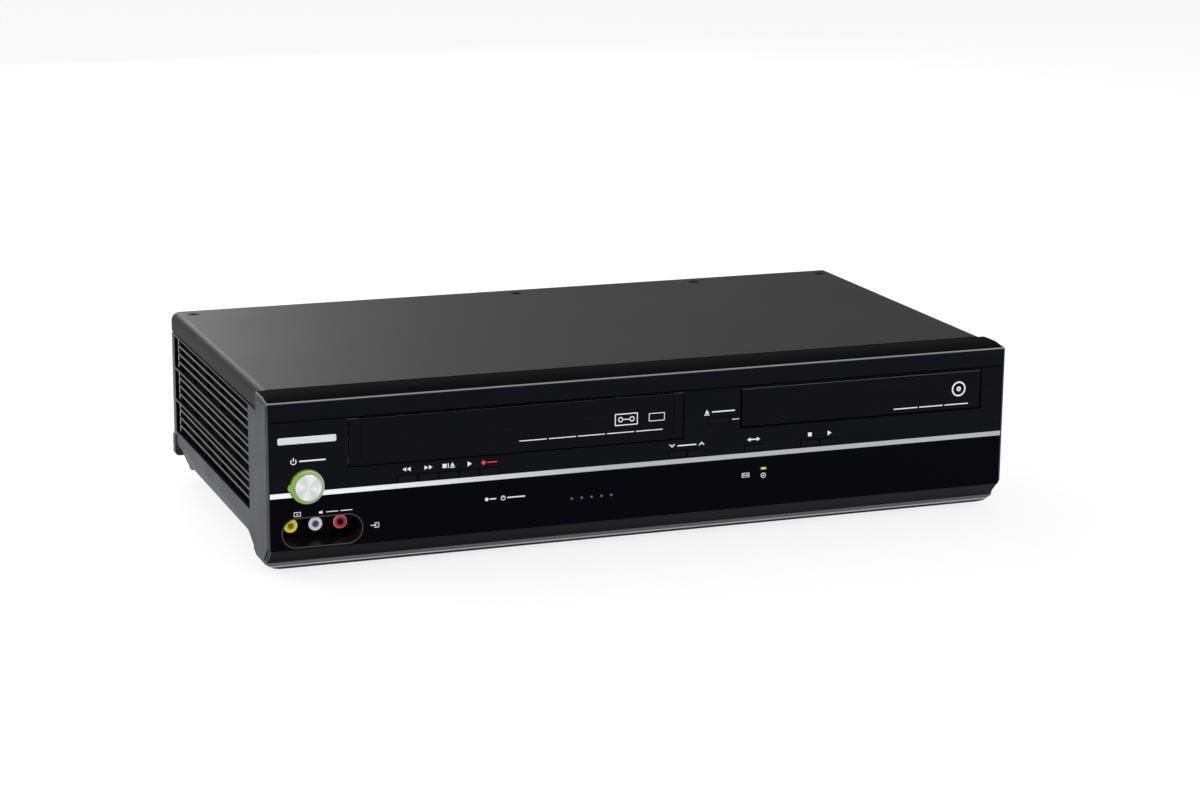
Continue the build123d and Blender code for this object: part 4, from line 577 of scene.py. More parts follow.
# Lit and shaded copies of the case plastic, which paint light and shade: the slope and the foot are shaded,
# the lip and the ribs are lit, and the rims, the bead and the line under the cap carry painted highlights.
slope_shaded_grey = moulded("slope_painted_shade", (0.0125, 0.0125, 0.0138), 0.4, 0.5 * mm, 0.012 * mm, 0.012, slope_painted_light)
foot_shaded_grey = moulded("foot_painted_shade", (0.03, 0.03, 0.032), 0.5, 0.5 * mm, 0.012 * mm, 0.05)
rib_lit_grey = moulded("rib_painted_highlight", (0.11, 0.112, 0.118), 0.46, 0.6 * mm, 0.02 * mm, 0.1)
rim_highlight_grey = moulded("rim_painted_highlight", (0.42, 0.43, 0.46), 0.3, 0.4 * mm, 0.005 * mm, 0.3)
lip_lit_grey = moulded("lip_painted_light", (0.16, 0.16, 0.168), 0.42, 0.5 * mm, 0.012 * mm, 0.25)
bead_highlight = moulded("bead_painted_highlight", (0.7, 0.7, 0.72), 0.35, 0.4 * mm, 0.005 * mm, 0.3)
edge_highlight = moulded("edge_painted_highlight", (0.36, 0.36, 0.37), 0.35, 0.4 * mm, 0.005 * mm, 0.3)
dimple_painted_shade = moulded("dimple_painted_shade", (0.002, 0.002, 0.002), 0.8, 0.5 * mm, 0.01 * mm, 0.002)
# Painted shade for gaps, grooves, seams and hollows.
gap_painted_shade = moulded("gap_painted_shade", (0.0016, 0.0016, 0.0018), 0.7, 0.5 * mm, 0.01 * mm, 0.02)
screw_black = moulded("screw_black", (0.004, 0.004, 0.0045), 0.5, 0.4 * mm, 0.005 * mm, 0.004)
screw_zinc = plated("screw_zinc", (0.5, 0.5, 0.48), 0.3, 0.8 * mm)
foot_rubber = rubber("foot_rubber", (0.018, 0.018, 0.018))
chassis_black = moulded("chassis_plastic", (0.028, 0.028, 0.03), 0.5, 0.8 * mm, 0.03 * mm)
print("finishes so far:", len(bpy.data.materials))

# %% Finishes of the front
fascia_black = hairline_black("fascia_black", (0.0052, 0.0056, 0.0082), 0.04)
door_black = hairline_black("door_black", (0.0042, 0.0045, 0.0072), 0.045)
door_bevel_highlight = moulded("door_bevel_highlight", (0.1, 0.105, 0.12), 0.4, 0.3 * mm, 0.004 * mm, 0.2)
cap_black = gloss("cap_black", (0.0038, 0.0038, 0.0038), 0.25, 0.0006)
window_black = gloss("window_black", (0.0004, 0.0006, 0.0026), 0.06, 0.032)
recess_black = gloss("recess_black", (0.008, 0.008, 0.009), 0.3, 0.06)
tub_rim_highlight = gloss("tub_rim_highlight", (0.03, 0.03, 0.034), 0.2, 0.4)
key_black = moulded("key_black", (0.0065, 0.0068, 0.009), 0.35, 0.3 * mm, 0.004 * mm, 0.05)
strip_silver = brushed("strip_silver", (0.9, 0.92, 0.96), 0.36, fade=strip_painted_light)
button_silver = wedge_metal("button_silver", (0.86, 0.87, 0.88), power_centre)
deep_green = ((0.13, 0.3, 0.015), (0.3, 0.52, 0.07))
pale_green = ((0.16, 0.26, 0.09), (0.5, 0.62, 0.4))
ring_green = lit_ring("ring_green", deep_green, pale_green, power_centre, ring_radius)
print_white = printed_ink("print_white", (0.86, 0.86, 0.88), 0.3)
print_red = printed_ink("print_red", (0.75, 0.05, 0.06), 0.3)
print("finishes so far:", len(bpy.data.materials))

# %% Finishes of the lenses
lens_low, lens_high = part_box("lamp_lenses")
lamp_half = (1.95 * mm, 0.9 * mm)
lamp_lit = (1.7 * mm, 0.62 * mm)
lamp_spot = (lens_high.x - lamp_half[0], lens_high.z - lamp_half[1])
dot_radius = 0.85 * mm
dot_pitch = 5.8 * mm
dot_lit = (0.62 * mm, 0.36 * mm)
dot_spot = (lens_low.x + dot_radius, lens_low.z + dot_radius)
lamp_lens = glowing("lamp_lens", (0.5, 0.75, 0.02), lamp_spot, lamp_lit)
dot_lens = glowing("dot_lens", (0.03, 0.2, 0.3), dot_spot, dot_lit, dot_pitch)
print("the green lamp is", round(lamp_spot[0] / mm, 1), "mm right of the middle")

# %% Finishes of the jacks
jack_yellow = lively("jack_yellow", (0.8, 0.66, 0.06), 0.42)
jack_white = lively("jack_white", (0.8, 0.8, 0.84), 0.35)
jack_red = lively("jack_red", (0.62, 0.015, 0.04), 0.35)
jack_green = gloss("jack_green", (0.03, 0.35, 0.08), 0.25, 0.4)
jack_blue = gloss("jack_blue", (0.02, 0.12, 0.55), 0.25, 0.4)
jack_block = moulded("jack_block", (0.012, 0.012, 0.013), 0.4, 0.4 * mm, 0.01 * mm)
bright_metal = polished("bright_metal", (0.72, 0.72, 0.7))
gold_metal = polished("gold_metal", (0.78, 0.6, 0.25), 0.18)
print("finishes so far:", len(bpy.data.materials))

# %% Finishes of the works
track_pitch = 2.54 * mm
shaft_steel = polished("shaft_steel", (0.6, 0.6, 0.61))
sheet_steel = plated("sheet_steel", (0.52, 0.53, 0.52))
carriage_steel = plated("carriage_steel", (0.58, 0.58, 0.55), 0.3, 6 * mm)
motor_can = brushed("motor_can", (0.5, 0.5, 0.5), 0.3, (1, 1, 0.02))
loader_black = moulded("loader_plastic", (0.022, 0.022, 0.024), 0.45, 0.6 * mm, 0.015 * mm)
tray_grey = moulded("tray_plastic", (0.04, 0.04, 0.044), 0.5, 0.35 * mm, 0.02 * mm)
natural_white = moulded("natural_plastic", (0.68, 0.67, 0.6), 0.4, 0.5 * mm, 0.005 * mm)
reel_white = moulded("reel_plastic", (0.7, 0.7, 0.68), 0.4, 0.5 * mm, 0.005 * mm)
belt_rubber = rubber("belt_rubber", (0.012, 0.012, 0.012))
board_green = circuit_board("board_green", (0.012, 0.09, 0.03), (0.05, 0.2, 0.06), track_pitch)
board_brown = circuit_board("board_brown", (0.3, 0.17, 0.07), (0.42, 0.26, 0.1), track_pitch)
print("finishes:", len(bpy.data.materials))

# %% [markdown]
# ## Dressing a CAD piece
#
# A CAD piece arrives as loose triangles, so light falls on it in facets and every edge is as sharp as a
# razor. Real edges are rounded by a tenth of a millimetre or so and catch a thin line of light. The piece
# itself stays as it is. A copy of it is merged, its flat faces are cleaned, its edges are bevelled, and it
# is shaded smooth where the angle is small. The copy then rides on the same body and stands for the node.


# %% Helpers for modelling by hand
weld = 0.002 * mm
flat_angle = math.radians(0.2)
sharp_angle = math.radians(32)
bevelled_angle = math.radians(52)
edge_mode = (False, True, False)
face_mode = (False, False, True)


def only(piece):
    """Makes a piece the only one selected, in object mode."""
    if bpy.context.object and bpy.context.object.mode != "OBJECT":
        bpy.ops.object.mode_set(mode="OBJECT")
    bpy.ops.object.select_all(action="DESELECT")
    piece.select_set(True)
    bpy.context.view_layer.objects.active = piece


def modify(piece, kind, **settings):
    """Adds a modifier and applies it."""
    only(piece)
    modifier = piece.modifiers.new(kind.lower(), kind)
    for key, value in settings.items():
        setattr(modifier, key, value)
    bpy.ops.object.modifier_apply(modifier=modifier.name)


def soften(piece, edge):
    """Bevels the sharp edges and shades the rest smooth."""
    only(piece)
    bpy.ops.object.shade_smooth_by_angle(angle=sharp_angle)
    if edge:
        modify(piece, "BEVEL", width=edge, segments=2, limit_method="ANGLE", angle_limit=sharp_angle,
               use_clamp_overlap=True)
        bpy.ops.object.shade_smooth_by_angle(angle=bevelled_angle)
        modify(piece, "WEIGHTED_NORMAL", keep_sharp=True)


def dressed(node, finish, edge):
    """A clean, bevelled copy of a CAD piece, in its finish."""
    piece = bpy.data.objects.new(node + "_skin", frame["nodes"][node].data.copy())
    bpy.context.scene.collection.objects.link(piece)
    only(piece)
    bpy.ops.mesh.customdata_custom_splitnormals_clear()
    bpy.ops.object.mode_set(mode="EDIT")
    bpy.ops.mesh.select_all(action="SELECT")
    bpy.ops.mesh.remove_doubles(threshold=weld)
    bpy.ops.mesh.dissolve_limited(angle_limit=flat_angle)
    bpy.ops.object.mode_set(mode="OBJECT")
    soften(piece, edge)
    piece.data.materials.clear()
    piece.data.materials.append(finish)
    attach(piece, frame["nodes"][node]["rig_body"])
    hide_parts(node)
    return piece


def touch_up(piece, finish, test):
    """Gives the faces that pass the test a finish of their own."""
    piece.data.materials.append(finish)
    chosen = [face for face in piece.data.polygons if test(face.center, face.normal)]
    for face in chosen:
        face.material_index = len(piece.data.materials) - 1
    print(finish.name, "on", len(chosen), "faces of", piece.name)


# %% [markdown]
# ## The case
#
# The bezel is one grey moulding, but the camera sees it in many tones: grey side bands with dark grooves and
# pale front rims, a dark slope under the window, a lighter lip with a bright bead, the foot below it, and the
# pale line under the cap. These tones are light and shade, painted here: each face gets a lit or shaded copy
# of the plastic, chosen by where the face lies and where it points.

# %% Where the bezel's faces lie
fascia_low, fascia_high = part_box("upper_fascia")
window_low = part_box("display_window")[0]
bezel_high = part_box("front_bezel")[1]
front_y = fascia_low.y
case_half = bezel_high.x
foot_depth = 12 * mm
face_band = 0.8 * mm
groove_floor = case_half - 0.4 * mm
lip_top = window_low.z - 8.8 * mm
shelf_z = fascia_high.z + 0.6 * mm
bead_z = (5.45 * mm, 6.1 * mm)


def on_slope(place, normal):
    """The slope under the window, in painted shade."""
    under_window = lip_top < place.z < window_low.z + face_band and abs(normal.x) < 0.2
    return under_window and normal.y < -0.3 and normal.z < 0


def on_lip(place, normal):
    """The band under the slope, in painted light."""
    return place.z < lip_top and normal.y < -0.3 and abs(normal.x) < 0.3


def on_stripe(place, normal):
    """The fine bead along the lip, which carries a painted highlight."""
    return bead_z[0] < place.z < bead_z[1] and normal.y < -0.3 and normal.z > 0.2


def under_bead(place, normal):
    """The lip below its bead, in painted shade."""
    return place.z < bead_z[0] and place.y < front_y + foot_depth


def on_line(place, normal):
    """The thin shelf in front of the cap, which carries a painted highlight."""
    return place.z > shelf_z and place.y < front_y + 1.2 * mm and normal.y < -0.2


def on_rim(place, normal):
    """The front edges of the side bands, which carry a painted highlight."""
    return normal.y < -0.9 and abs(place.x) > fascia_high.x and place.y < front_y + 0.3 * mm


def in_groove(place, normal):
    """The fine grooves along the side bands, in painted shade."""
    bottom = abs(abs(place.x) - groove_floor) < 0.03 * mm and abs(normal.x) > 0.9
    wall = groove_floor + 0.05 * mm < abs(place.x) < case_half - 0.06 * mm and abs(normal.x) < 0.4
    return place.y > front_y + 0.6 * mm and (bottom or wall) and place.z > lip_top


def in_seam(place, normal):
    """The rear end of the bezel, which the side panels meet, in painted shade."""
    return place.y > bezel_high.y - 0.4 * mm and normal.y > 0.5


print("the lip ends", round(lip_top / mm, 1), "mm above the ground")

# %% Bezel
bezel = dressed("front_bezel", case_grey, 0.12 * mm)
# Painted shade on the slope, the foot, the grooves and the seam; painted light on the lip; painted highlights
# on the bead, the line and the rims.
bezel_faces = [(slope_shaded_grey, on_slope), (lip_lit_grey, on_lip), (foot_shaded_grey, under_bead), (bead_highlight, on_stripe),
               (edge_highlight, on_line), (rim_highlight_grey, on_rim), (gap_painted_shade, in_groove), (gap_painted_shade, in_seam)]
for finish, test in bezel_faces:
    touch_up(bezel, finish, test)

# %% [markdown]
# The cover is one sheet of painted steel. Its screws stand in pressed dimples in one row near the front. A
# dimple looks black, because its walls shade each other, and so that shade is painted black.

# %% Cover and its screws
cover_top = cad_box[1].z
cover_margin = 8 * mm
dimple = 4.6 * mm
screw_low, screw_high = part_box("cover_screws")
screw_row = (screw_low.y + screw_high.y) / 2


def in_dimple(place, normal):
    """What lies under the sheet's upper face, near the row of screws."""
    sunk = place.z < cover_top - 0.02 * mm and normal.z > -0.5
    return sunk and abs(place.y - screw_row) < dimple and abs(place.x) < case_half - cover_margin


cover = dressed("top_cover", cover_grey, 0.12 * mm)
touch_up(cover, dimple_painted_shade, in_dimple)
dressed("cover_screws", screw_black, 0.1 * mm)

# %% [markdown]
# The panels of the front meet in gaps of a few tenths of a millimetre, which look black on the real deck. The
# white studio would light their walls here. So the shade in the gaps is painted: their walls are painted
# black, and only what faces the front keeps its finish.


# %% Panels of the front
facing_front = -0.97


def dark_inside(piece, depth=0.3 * mm):
    """Paints shade: blackens all that doesn't face the front, and all that lies deeper than depth."""
    touch_up(piece, gap_painted_shade, lambda place, normal: place.y > front_y + depth or normal.y > facing_front)


dark_inside(dressed("upper_fascia", fascia_black, 0.15 * mm))
dressed("top_trim", cap_black, 0.2 * mm)
dark_inside(dressed("silver_strip", strip_silver, 0.1 * mm))
dark_inside(dressed("display_window", window_black, 0.15 * mm))
tub = dressed("jack_recess", recess_black, 0.15 * mm)
# The front rim of the recess carries a painted highlight.
touch_up(tub, tub_rim_highlight, lambda place, normal: place.y < front_y + 0.1 * mm)

# %% [markdown]
# A side panel is a moulding with a sunk field of ribs. The field is painted black as shade, the short ribs
# stand a little back and carry a painted highlight, and a seam of painted shade runs where the panel meets
# the cover and the bezel.

# %% Where the side panels' faces lie
side_low, side_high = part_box("right_side_panel")
rib_step = 1.2 * mm
tongue_length = 5.2 * mm
tongue_foot = 21 * mm
panel_face = case_half - 1.4 * mm
recess_y = (side_low.y + 16.3 * mm, side_high.y - 6.7 * mm)
recess_z = (27.9 * mm, 86.5 * mm)


def in_recess(place, normal):
    """Everything behind the ribs' outer faces."""
    along = recess_y[0] - mm < place.y < recess_y[1] + mm
    inside = along and recess_z[0] - mm < place.z < recess_z[1] + mm
    return inside and not (abs(normal.x) > 0.8 and abs(place.x) > panel_face - 1.5 * mm)


def in_panel_seam(place, normal):
    """The tongue, and the edges that face the cover and the bezel."""
    tongue = place.y < side_low.y + tongue_length and place.z > tongue_foot
    return tongue or normal.z > 0.8 and place.z > side_high.z - 0.2 * mm


def on_rib(place, normal):
    """The outer faces of the short ribs, which stand a little back and carry a painted highlight."""
    return abs(normal.x) > 0.8 and abs(abs(place.x) - panel_face + rib_step) < 0.2 * mm


print("ribbed field:", round((recess_y[1] - recess_y[0]) / mm, 1), "mm long")

# %% Side panels, rear and bottom
for node in ("left_side_panel", "right_side_panel"):
    panel = dressed(node, case_grey, 0.15 * mm)
    # Painted shade in the ribbed field and along the seams, and a painted highlight on the short ribs.
    for finish, test in [(gap_painted_shade, in_recess), (gap_painted_shade, in_panel_seam), (rib_lit_grey, on_rib)]:
        touch_up(panel, finish, test)
dressed("rear_panel", rear_grey, 0.08 * mm)
dressed("bottom_chassis", chassis_black, 0.15 * mm)
dressed("feet", foot_rubber, 0.15 * mm)

# %% [markdown]
# The flap, the drawer front and the keys are black like the fascia, each with a touch of its own: their sides
# are painted black as shade. The upper edges of the two doors are bevelled wider than the rest and carry a
# painted highlight, a thin pale line.

# %% Doors, power button and keys
for node in ("vcr_door", "tray_front"):
    door = dressed(node, door_black, 0.22 * mm)
    dark_inside(door)
    # A painted highlight on the upper bevels of the doors.
    touch_up(door, door_bevel_highlight, lambda place, normal: normal.z > 0.2 and normal.y < -0.2)
dressed("power_ring", ring_green, 0.0)
dressed("power_button", button_silver, 0.1 * mm)
for node in sorted(frame["nodes"]):
    if node.endswith("_key"):
        dark_inside(dressed(node, key_black, 0.2 * mm), -0.1 * mm)

# %% [markdown]
# ## Lamps and jacks
#
# The lamp and the five dots are light pipes in one node, so the green and the teal are told apart by place.
# A phono jack is a coloured collar whose rounded edge carries a painted highlight. One looks past it into a
# hollow bore, painted in a shaded copy of the same colour. What stands behind the coloured face is painted
# black as shade.

# %% Lenses
lamp_side = 40 * mm
lenses = dressed("lamp_lenses", dot_lens, 0.08 * mm)
touch_up(lenses, lamp_lens, lambda place, normal: place.x > lamp_side)

# %% Front jacks
# Each jack: its node, its finish, the painted shade of its bore, and the painted highlight of its edge.
front_jacks = [
    ("front_video_jack", jack_yellow, (0.3, 0.24, 0.008), (0.9, 0.82, 0.35)),
    ("front_left_jack", jack_white, (0.12, 0.13, 0.19), (0.88, 0.88, 0.9)),
    ("front_right_jack", jack_red, (0.045, 0.003, 0.004), (0.8, 0.4, 0.42)),
]
bore_radius = 1.72 * mm
edge_radius = 3.4 * mm
face_depth = 0.5 * mm
jack_low, jack_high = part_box("front_video_jack")
jack_face_y = jack_low.y
jack_z = (jack_low.z + jack_high.z) / 2


def middle_x(node):
    """The middle of a node from left to right."""
    low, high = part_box(node)
    return (low.x + high.x) / 2


def dress_jack(node, finish, hollow, edge):
    """A coloured face, painted shade behind it and in its bore, and a painted highlight on its rounded edge.
    """
    axis_x = middle_x(node)
    jack = dressed(node, finish, 0.12 * mm)

    def off_axis(place):
        return math.hypot(place.x - axis_x, place.z - jack_z)

    touch_up(jack, gap_painted_shade, lambda place, normal: place.y > jack_face_y + face_depth)
    touch_up(jack, lively(node + "_hollow", hollow, 0.3),
             lambda place, normal: off_axis(place) < bore_radius and place.y > jack_face_y + 0.2 * mm)
    touch_up(jack, lively(node + "_edge", edge, 0.35),
             lambda place, normal: off_axis(place) > edge_radius and place.y < jack_face_y + face_depth)


for jack in front_jacks:
    dress_jack(*jack)

# %% Sockets at the rear
rear_face_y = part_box("rear_panel")[1].y
shell_start = rear_face_y + 1.4 * mm
shells = [("av_jacks", bright_metal), ("component_jacks", gold_metal), ("aerial_sockets", bright_metal)]
for node, metal in shells:
    sockets = dressed(node, jack_block, 0.12 * mm)
    touch_up(sockets, metal, lambda place, normal: place.y > shell_start)
dressed("mains_inlet", jack_block, 0.15 * mm)

# %% [markdown]
# ## The works
#
# Inside are two machines. The cassette deck has a plated steel plate, a polished drum, reel tables and a
# carriage. The disc loader is black plastic with a drawer, a gear, a motor and a sled with the pickup. They
# show through the slot, the drawer's opening and the vents, and in full when the cover is off.

# %% Works
drum_low, drum_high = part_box("head_drum")
drum_metal = turned("drum_metal", (0.68, 0.68, 0.68), (drum_low + drum_high) / 2, 0.15)
works = [
    ("deck_plate", sheet_steel, 0.15), ("tape_path", shaft_steel, 0.1), ("supply_reel", reel_white, 0.15),
    ("takeup_reel", reel_white, 0.15), ("capstan", shaft_steel, 0.1),
    ("cassette_carriage", carriage_steel, 0.12), ("carriage_slider", carriage_steel, 0.12),
    ("carriage_brackets", sheet_steel, 0.15), ("loader_frame", loader_black, 0.2),
    ("disc_tray", tray_grey, 0.2), ("tray_gear", natural_white, 0.1), ("drive_belt", belt_rubber, 0.1),
    ("traverse_plate", sheet_steel, 0.1), ("pickup_rods", shaft_steel, 0.1),
    ("turntable", loader_black, 0.1), ("clamp_bridge", sheet_steel, 0.12),
    ("clamp_puck", loader_black, 0.12), ("head_drum", drum_metal, 0.1), ("loading_motor", motor_can, 0.12),
    ("pinch_arm", sheet_steel, 0.1), ("optical_pickup", loader_black, 0.12),
    ("main_board", board_green, 0.0), ("power_board", board_brown, 0.0),
]
for node, finish, edge in works:
    dressed(node, finish, edge * mm)

# The board behind the keys would show brown through the open flap, so all but its back is painted black as
# shade.
front_board = dressed("front_board", board_brown, 0.0)
touch_up(front_board, gap_painted_shade, lambda place, normal: normal.y < 0.5)

# %% [markdown]
# ## Printed signs
#
# A deck carries small white signs over its keys. They are screen printed: a few hundredths of a millimetre of
# ink. Text objects would do for words, but signs need no words here. Each is a flat primitive, shaped in edit
# mode, and the signs on one surface are joined and given the thickness of ink. All are drawn in the XZ plane
# and moved to their surface at the end.

# %% Flat shapes
upright = math.pi / 2


def settle(piece):
    """Moves a piece's place into its mesh."""
    only(piece)
    bpy.ops.object.transform_apply(location=True, rotation=True, scale=True)
    return piece


def bar(x0, x1, z0, z1):
    """A filled rectangle."""
    middle = ((x0 + x1) / 2, 0, (z0 + z1) / 2)
    bpy.ops.mesh.primitive_plane_add(size=1, location=middle, rotation=(upright, 0, 0))
    piece = bpy.context.object
    piece.scale = (x1 - x0, z1 - z0, 1)
    return settle(piece)


def polygon(x, z, radius, corners, turn=0.0):
    """A filled regular shape."""
    bpy.ops.mesh.primitive_circle_add(vertices=corners, radius=radius, fill_type="NGON", location=(x, 0, z),
                                      rotation=(upright, turn, 0))
    return settle(bpy.context.object)


def arrow(x, z, size, way):
    """A solid triangle that points left, right or up."""
    turns = {"up": 0, "right": upright, "left": -upright}
    return polygon(x, z, size, 3, turns[way])


# %% [markdown]
# A sign in outline starts as a filled shape. Inset sets its border off and leaves the inner face selected,
# and that face is deleted. Part of a shape is cut away by choosing its faces by their place.


# %% Outlines and rules
rule_gap = 1.2 * mm


def cut_faces(piece, test):
    """Deletes the faces that pass the test."""
    only(piece)
    bpy.context.tool_settings.mesh_select_mode = face_mode
    for item in [*piece.data.vertices, *piece.data.edges]:
        item.select = False
    for face in piece.data.polygons:
        face.select = test(face)
    bpy.ops.object.mode_set(mode="EDIT")
    bpy.ops.mesh.delete(type="FACE")
    bpy.ops.object.mode_set(mode="OBJECT")
    return piece


def outline(piece, line):
    """Keeps only a border of a filled shape."""
    only(piece)
    bpy.ops.object.mode_set(mode="EDIT")
    bpy.ops.mesh.select_all(action="SELECT")
    bpy.ops.mesh.inset(thickness=line)
    bpy.ops.mesh.delete(type="FACE")
    bpy.ops.object.mode_set(mode="OBJECT")
    return piece


def ring(x, z, radius, line, corners=40):
    """A circle in outline."""
    return outline(polygon(x, z, radius, corners), line)


def box_line(x0, x1, z0, z1, line):
    """A rectangle in outline."""
    return outline(bar(x0, x1, z0, z1), line)


def chevron(x, z, half, line, way):
    """A diamond's outline with one half cut away."""
    piece = outline(polygon(x, z, half, 4), line)
    side = 1 if way == "up" else -1
    return cut_faces(piece, lambda face: (face.center.z - z) * side < 0)


def rule(x0, x1, z, height, gaps=0):
    """A thin line, broken evenly where gaps are asked for."""
    step = (x1 - x0) / (gaps + 1)
    space = rule_gap if gaps else 0.0
    return [bar(x0 + i * step, x0 + (i + 1) * step - space, z - height / 2, z + height / 2)
            for i in range(gaps + 1)]


# %% [markdown]
# The shapes on one surface become one piece: they are joined, Solidify gives them a thickness, and their
# normals are worked out anew, so that both faces look outwards. The piece then gets its finish and the body
# that carries it.


# %% From shapes to a piece
def joined(name, shapes):
    """One piece of several shapes."""
    only(shapes[0])
    for shape in shapes[1:]:
        shape.select_set(True)
    if len(shapes) > 1:
        bpy.ops.object.join()
    shapes[0].name = name
    return shapes[0]


def thickened(piece, thick, surface_y):
    """Gives a flat piece a thickness and lays it on a surface."""
    modify(piece, "SOLIDIFY", thickness=thick, offset=0)
    only(piece)
    bpy.ops.object.mode_set(mode="EDIT")
    bpy.ops.mesh.select_all(action="SELECT")
    bpy.ops.mesh.normals_make_consistent(inside=False)
    bpy.ops.object.mode_set(mode="OBJECT")
    piece.data.transform(Matrix.Translation((0, surface_y, 0)))
    return piece


def fitted(piece, finish, body="root"):
    """Gives a new piece its finish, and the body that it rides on."""
    piece.data.materials.append(finish)
    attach(piece, body)
    print(piece.name, "has", len(piece.data.polygons), "faces")


ink = 0.06 * mm


def printed(name, shapes, finish, body="root"):
    """Flat shapes as one print on a node of the front."""
    fitted(thickened(joined(name, shapes), ink, front_y), finish, body)


# %% [markdown]
# ### Signs on the fascia
#
# The tape keys carry the usual signs: two arrows back, two arrows on, a square with the eject sign, one
# arrow, and a red dot. The tracking keys have chevrons, the source key has arrows both ways, and the drawer's
# key has the eject sign. The power button has a broken ring with an upright stroke.

# %% Signs over the tape keys
sign_z = 56.0 * mm
sign = 1.38 * mm
stroke = 0.7 * mm
chevron_half = 1.9 * mm
chevron_line = 0.62 * mm
tracking_reach = 3.2 * mm


def pair(x, reach, ways):
    """Two arrows beside a middle."""
    return [arrow(x + side * reach, sign_z, sign, way) for side, way in zip((-1, 1), ways)]


def play(node):
    """One large arrow."""
    return arrow(middle_x(node), sign_z, 1.2 * sign, "right")


def stop(x):
    """A square, a little higher than wide."""
    return bar(x - 1.15 * mm, x + 1.15 * mm, sign_z - 1.1 * mm, sign_z + 1.15 * mm)


def eject(x, z, size):
    """A triangle over a bar."""
    return [arrow(x, z, size, "up"), bar(x - size, x + size, z - 1.15 * size, z - 0.8 * size)]


stop_x = middle_x("stop_eject_key")
down_x = middle_x("tracking_down_key")
up_x = middle_x("tracking_up_key")
source_x = middle_x("source_key")
shapes = [
    *pair(middle_x("rewind_key"), 0.9 * sign, ("left", "left")),
    *pair(middle_x("forward_key"), 0.9 * sign, ("right", "right")),
    stop(stop_x - 2.25 * mm),
    bar(stop_x - 0.35 * mm, stop_x + 0.1 * mm, sign_z - 1.3 * mm, sign_z + 1.3 * mm),
    *eject(stop_x + 2.2 * mm, sign_z + 0.3 * mm, sign),
    play("vcr_play_key"),
    chevron(down_x - tracking_reach, sign_z + 1.1 * mm, chevron_half, chevron_line, "down"),
    chevron(up_x + tracking_reach, sign_z - 0.7 * mm, chevron_half, chevron_line, "up"),
    *rule(down_x, up_x, sign_z, stroke),
    *pair(source_x, 2.6 * mm, ("left", "right")),
    *rule(source_x - 2.0 * mm, source_x + 2.0 * mm, sign_z, stroke),
]
print("shapes over the tape keys:", len(shapes))

# %% Signs of the disc keys and the power button
open_key_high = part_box("open_close_key")[1]
open_x = middle_x("open_close_key")
open_sign_z = open_key_high.z + 2.6 * mm
power_sign_z = 65.3 * mm
power_sign_x = power_centre.x - 7.2 * mm
power_line = 0.5 * mm
power_loop = ring(power_sign_x, power_sign_z, 1.7 * mm, power_line)
shapes += [
    stop(middle_x("dvd_stop_key")),
    play("dvd_play_key"),
    *eject(open_x - 7.6 * mm, open_sign_z, 1.1 * sign),
    *rule(open_x - 4.6 * mm, open_x + 9.2 * mm, open_sign_z, stroke),
    *rule(open_key_high.x + 0.9 * mm, open_key_high.x + 5.2 * mm, 68.6 * mm, 0.4 * mm),
    cut_faces(power_loop, lambda face: face.center.z > power_sign_z + 1.0 * mm),
    bar(power_sign_x - power_line / 2, power_sign_x + power_line / 2, power_sign_z, power_sign_z + 2.1 * mm),
    *rule(power_sign_x + 3.2 * mm, power_sign_x + 17.6 * mm, power_sign_z, 0.8 * mm),
]
printed("fascia_signs", shapes, print_white)

record_x = middle_x("record_key")
red_dot = [polygon(record_x - 3.4 * mm, sign_z, 1.15 * mm, 32),
           *rule(record_x - 1.4 * mm, record_x + 4.4 * mm, sign_z, 0.6 * mm)]
printed("record_sign", red_dot, print_red)

# %% [markdown]
# ### Signs on the doors
#
# The flap carries a small drawing of a cassette and a thin rule, and the drawer a drawing of a disc and a
# rule. They ride on the flap and on the drawer, so they move with them.


# %% Door signs
def cassette_sign(x, z, width, height, line):
    """An outlined case with two reels and the edge of the tape window."""
    reel = 0.22 * height
    return [box_line(x - width / 2, x + width / 2, z - height / 2, z + height / 2, line),
            *[ring(x + side * width / 4, z, reel, line, 24) for side in (-1, 1)],
            *rule(x - width / 8, x + width / 8, z, line)]


def disc_sign(x, z, radius, line):
    """A disc: its rim and its hub."""
    return [ring(x, z, radius, line), ring(x, z, 0.32 * radius, line, 24)]


flap_cassette = (-15.5 * mm, 73.6 * mm)
flap_frame = (-2.2 * mm, 7.2 * mm, 71.3 * mm, 75.9 * mm)
flap_rule = (-77.6 * mm, 7.3 * mm, 66.3 * mm)
drawer_disc = (188.6 * mm, 75.4 * mm)
drawer_rule = (147.6 * mm, 196.0 * mm, 66.5 * mm)
flap_signs = [
    *cassette_sign(*flap_cassette, 13.5 * mm, 6.8 * mm, 0.55 * mm),
    box_line(*flap_frame, 0.4 * mm),
    *rule(*flap_rule, 0.5 * mm, 4),
]
drawer_signs = [
    *disc_sign(*drawer_disc, 4.4 * mm, 0.9 * mm),
    *rule(*drawer_rule, 0.6 * mm, 2),
]
printed("flap_signs", flap_signs, print_white, "vcr_door")
printed("drawer_signs", drawer_signs, print_white, "disc_tray")

# %% [markdown]
# ### Signs on the window
#
# Under the strip are the signs of the lamps and of the front jacks: a dot, a clock, a cassette, a disc, a
# screen, a loudspeaker, and an arrow into a bracket for what comes in.

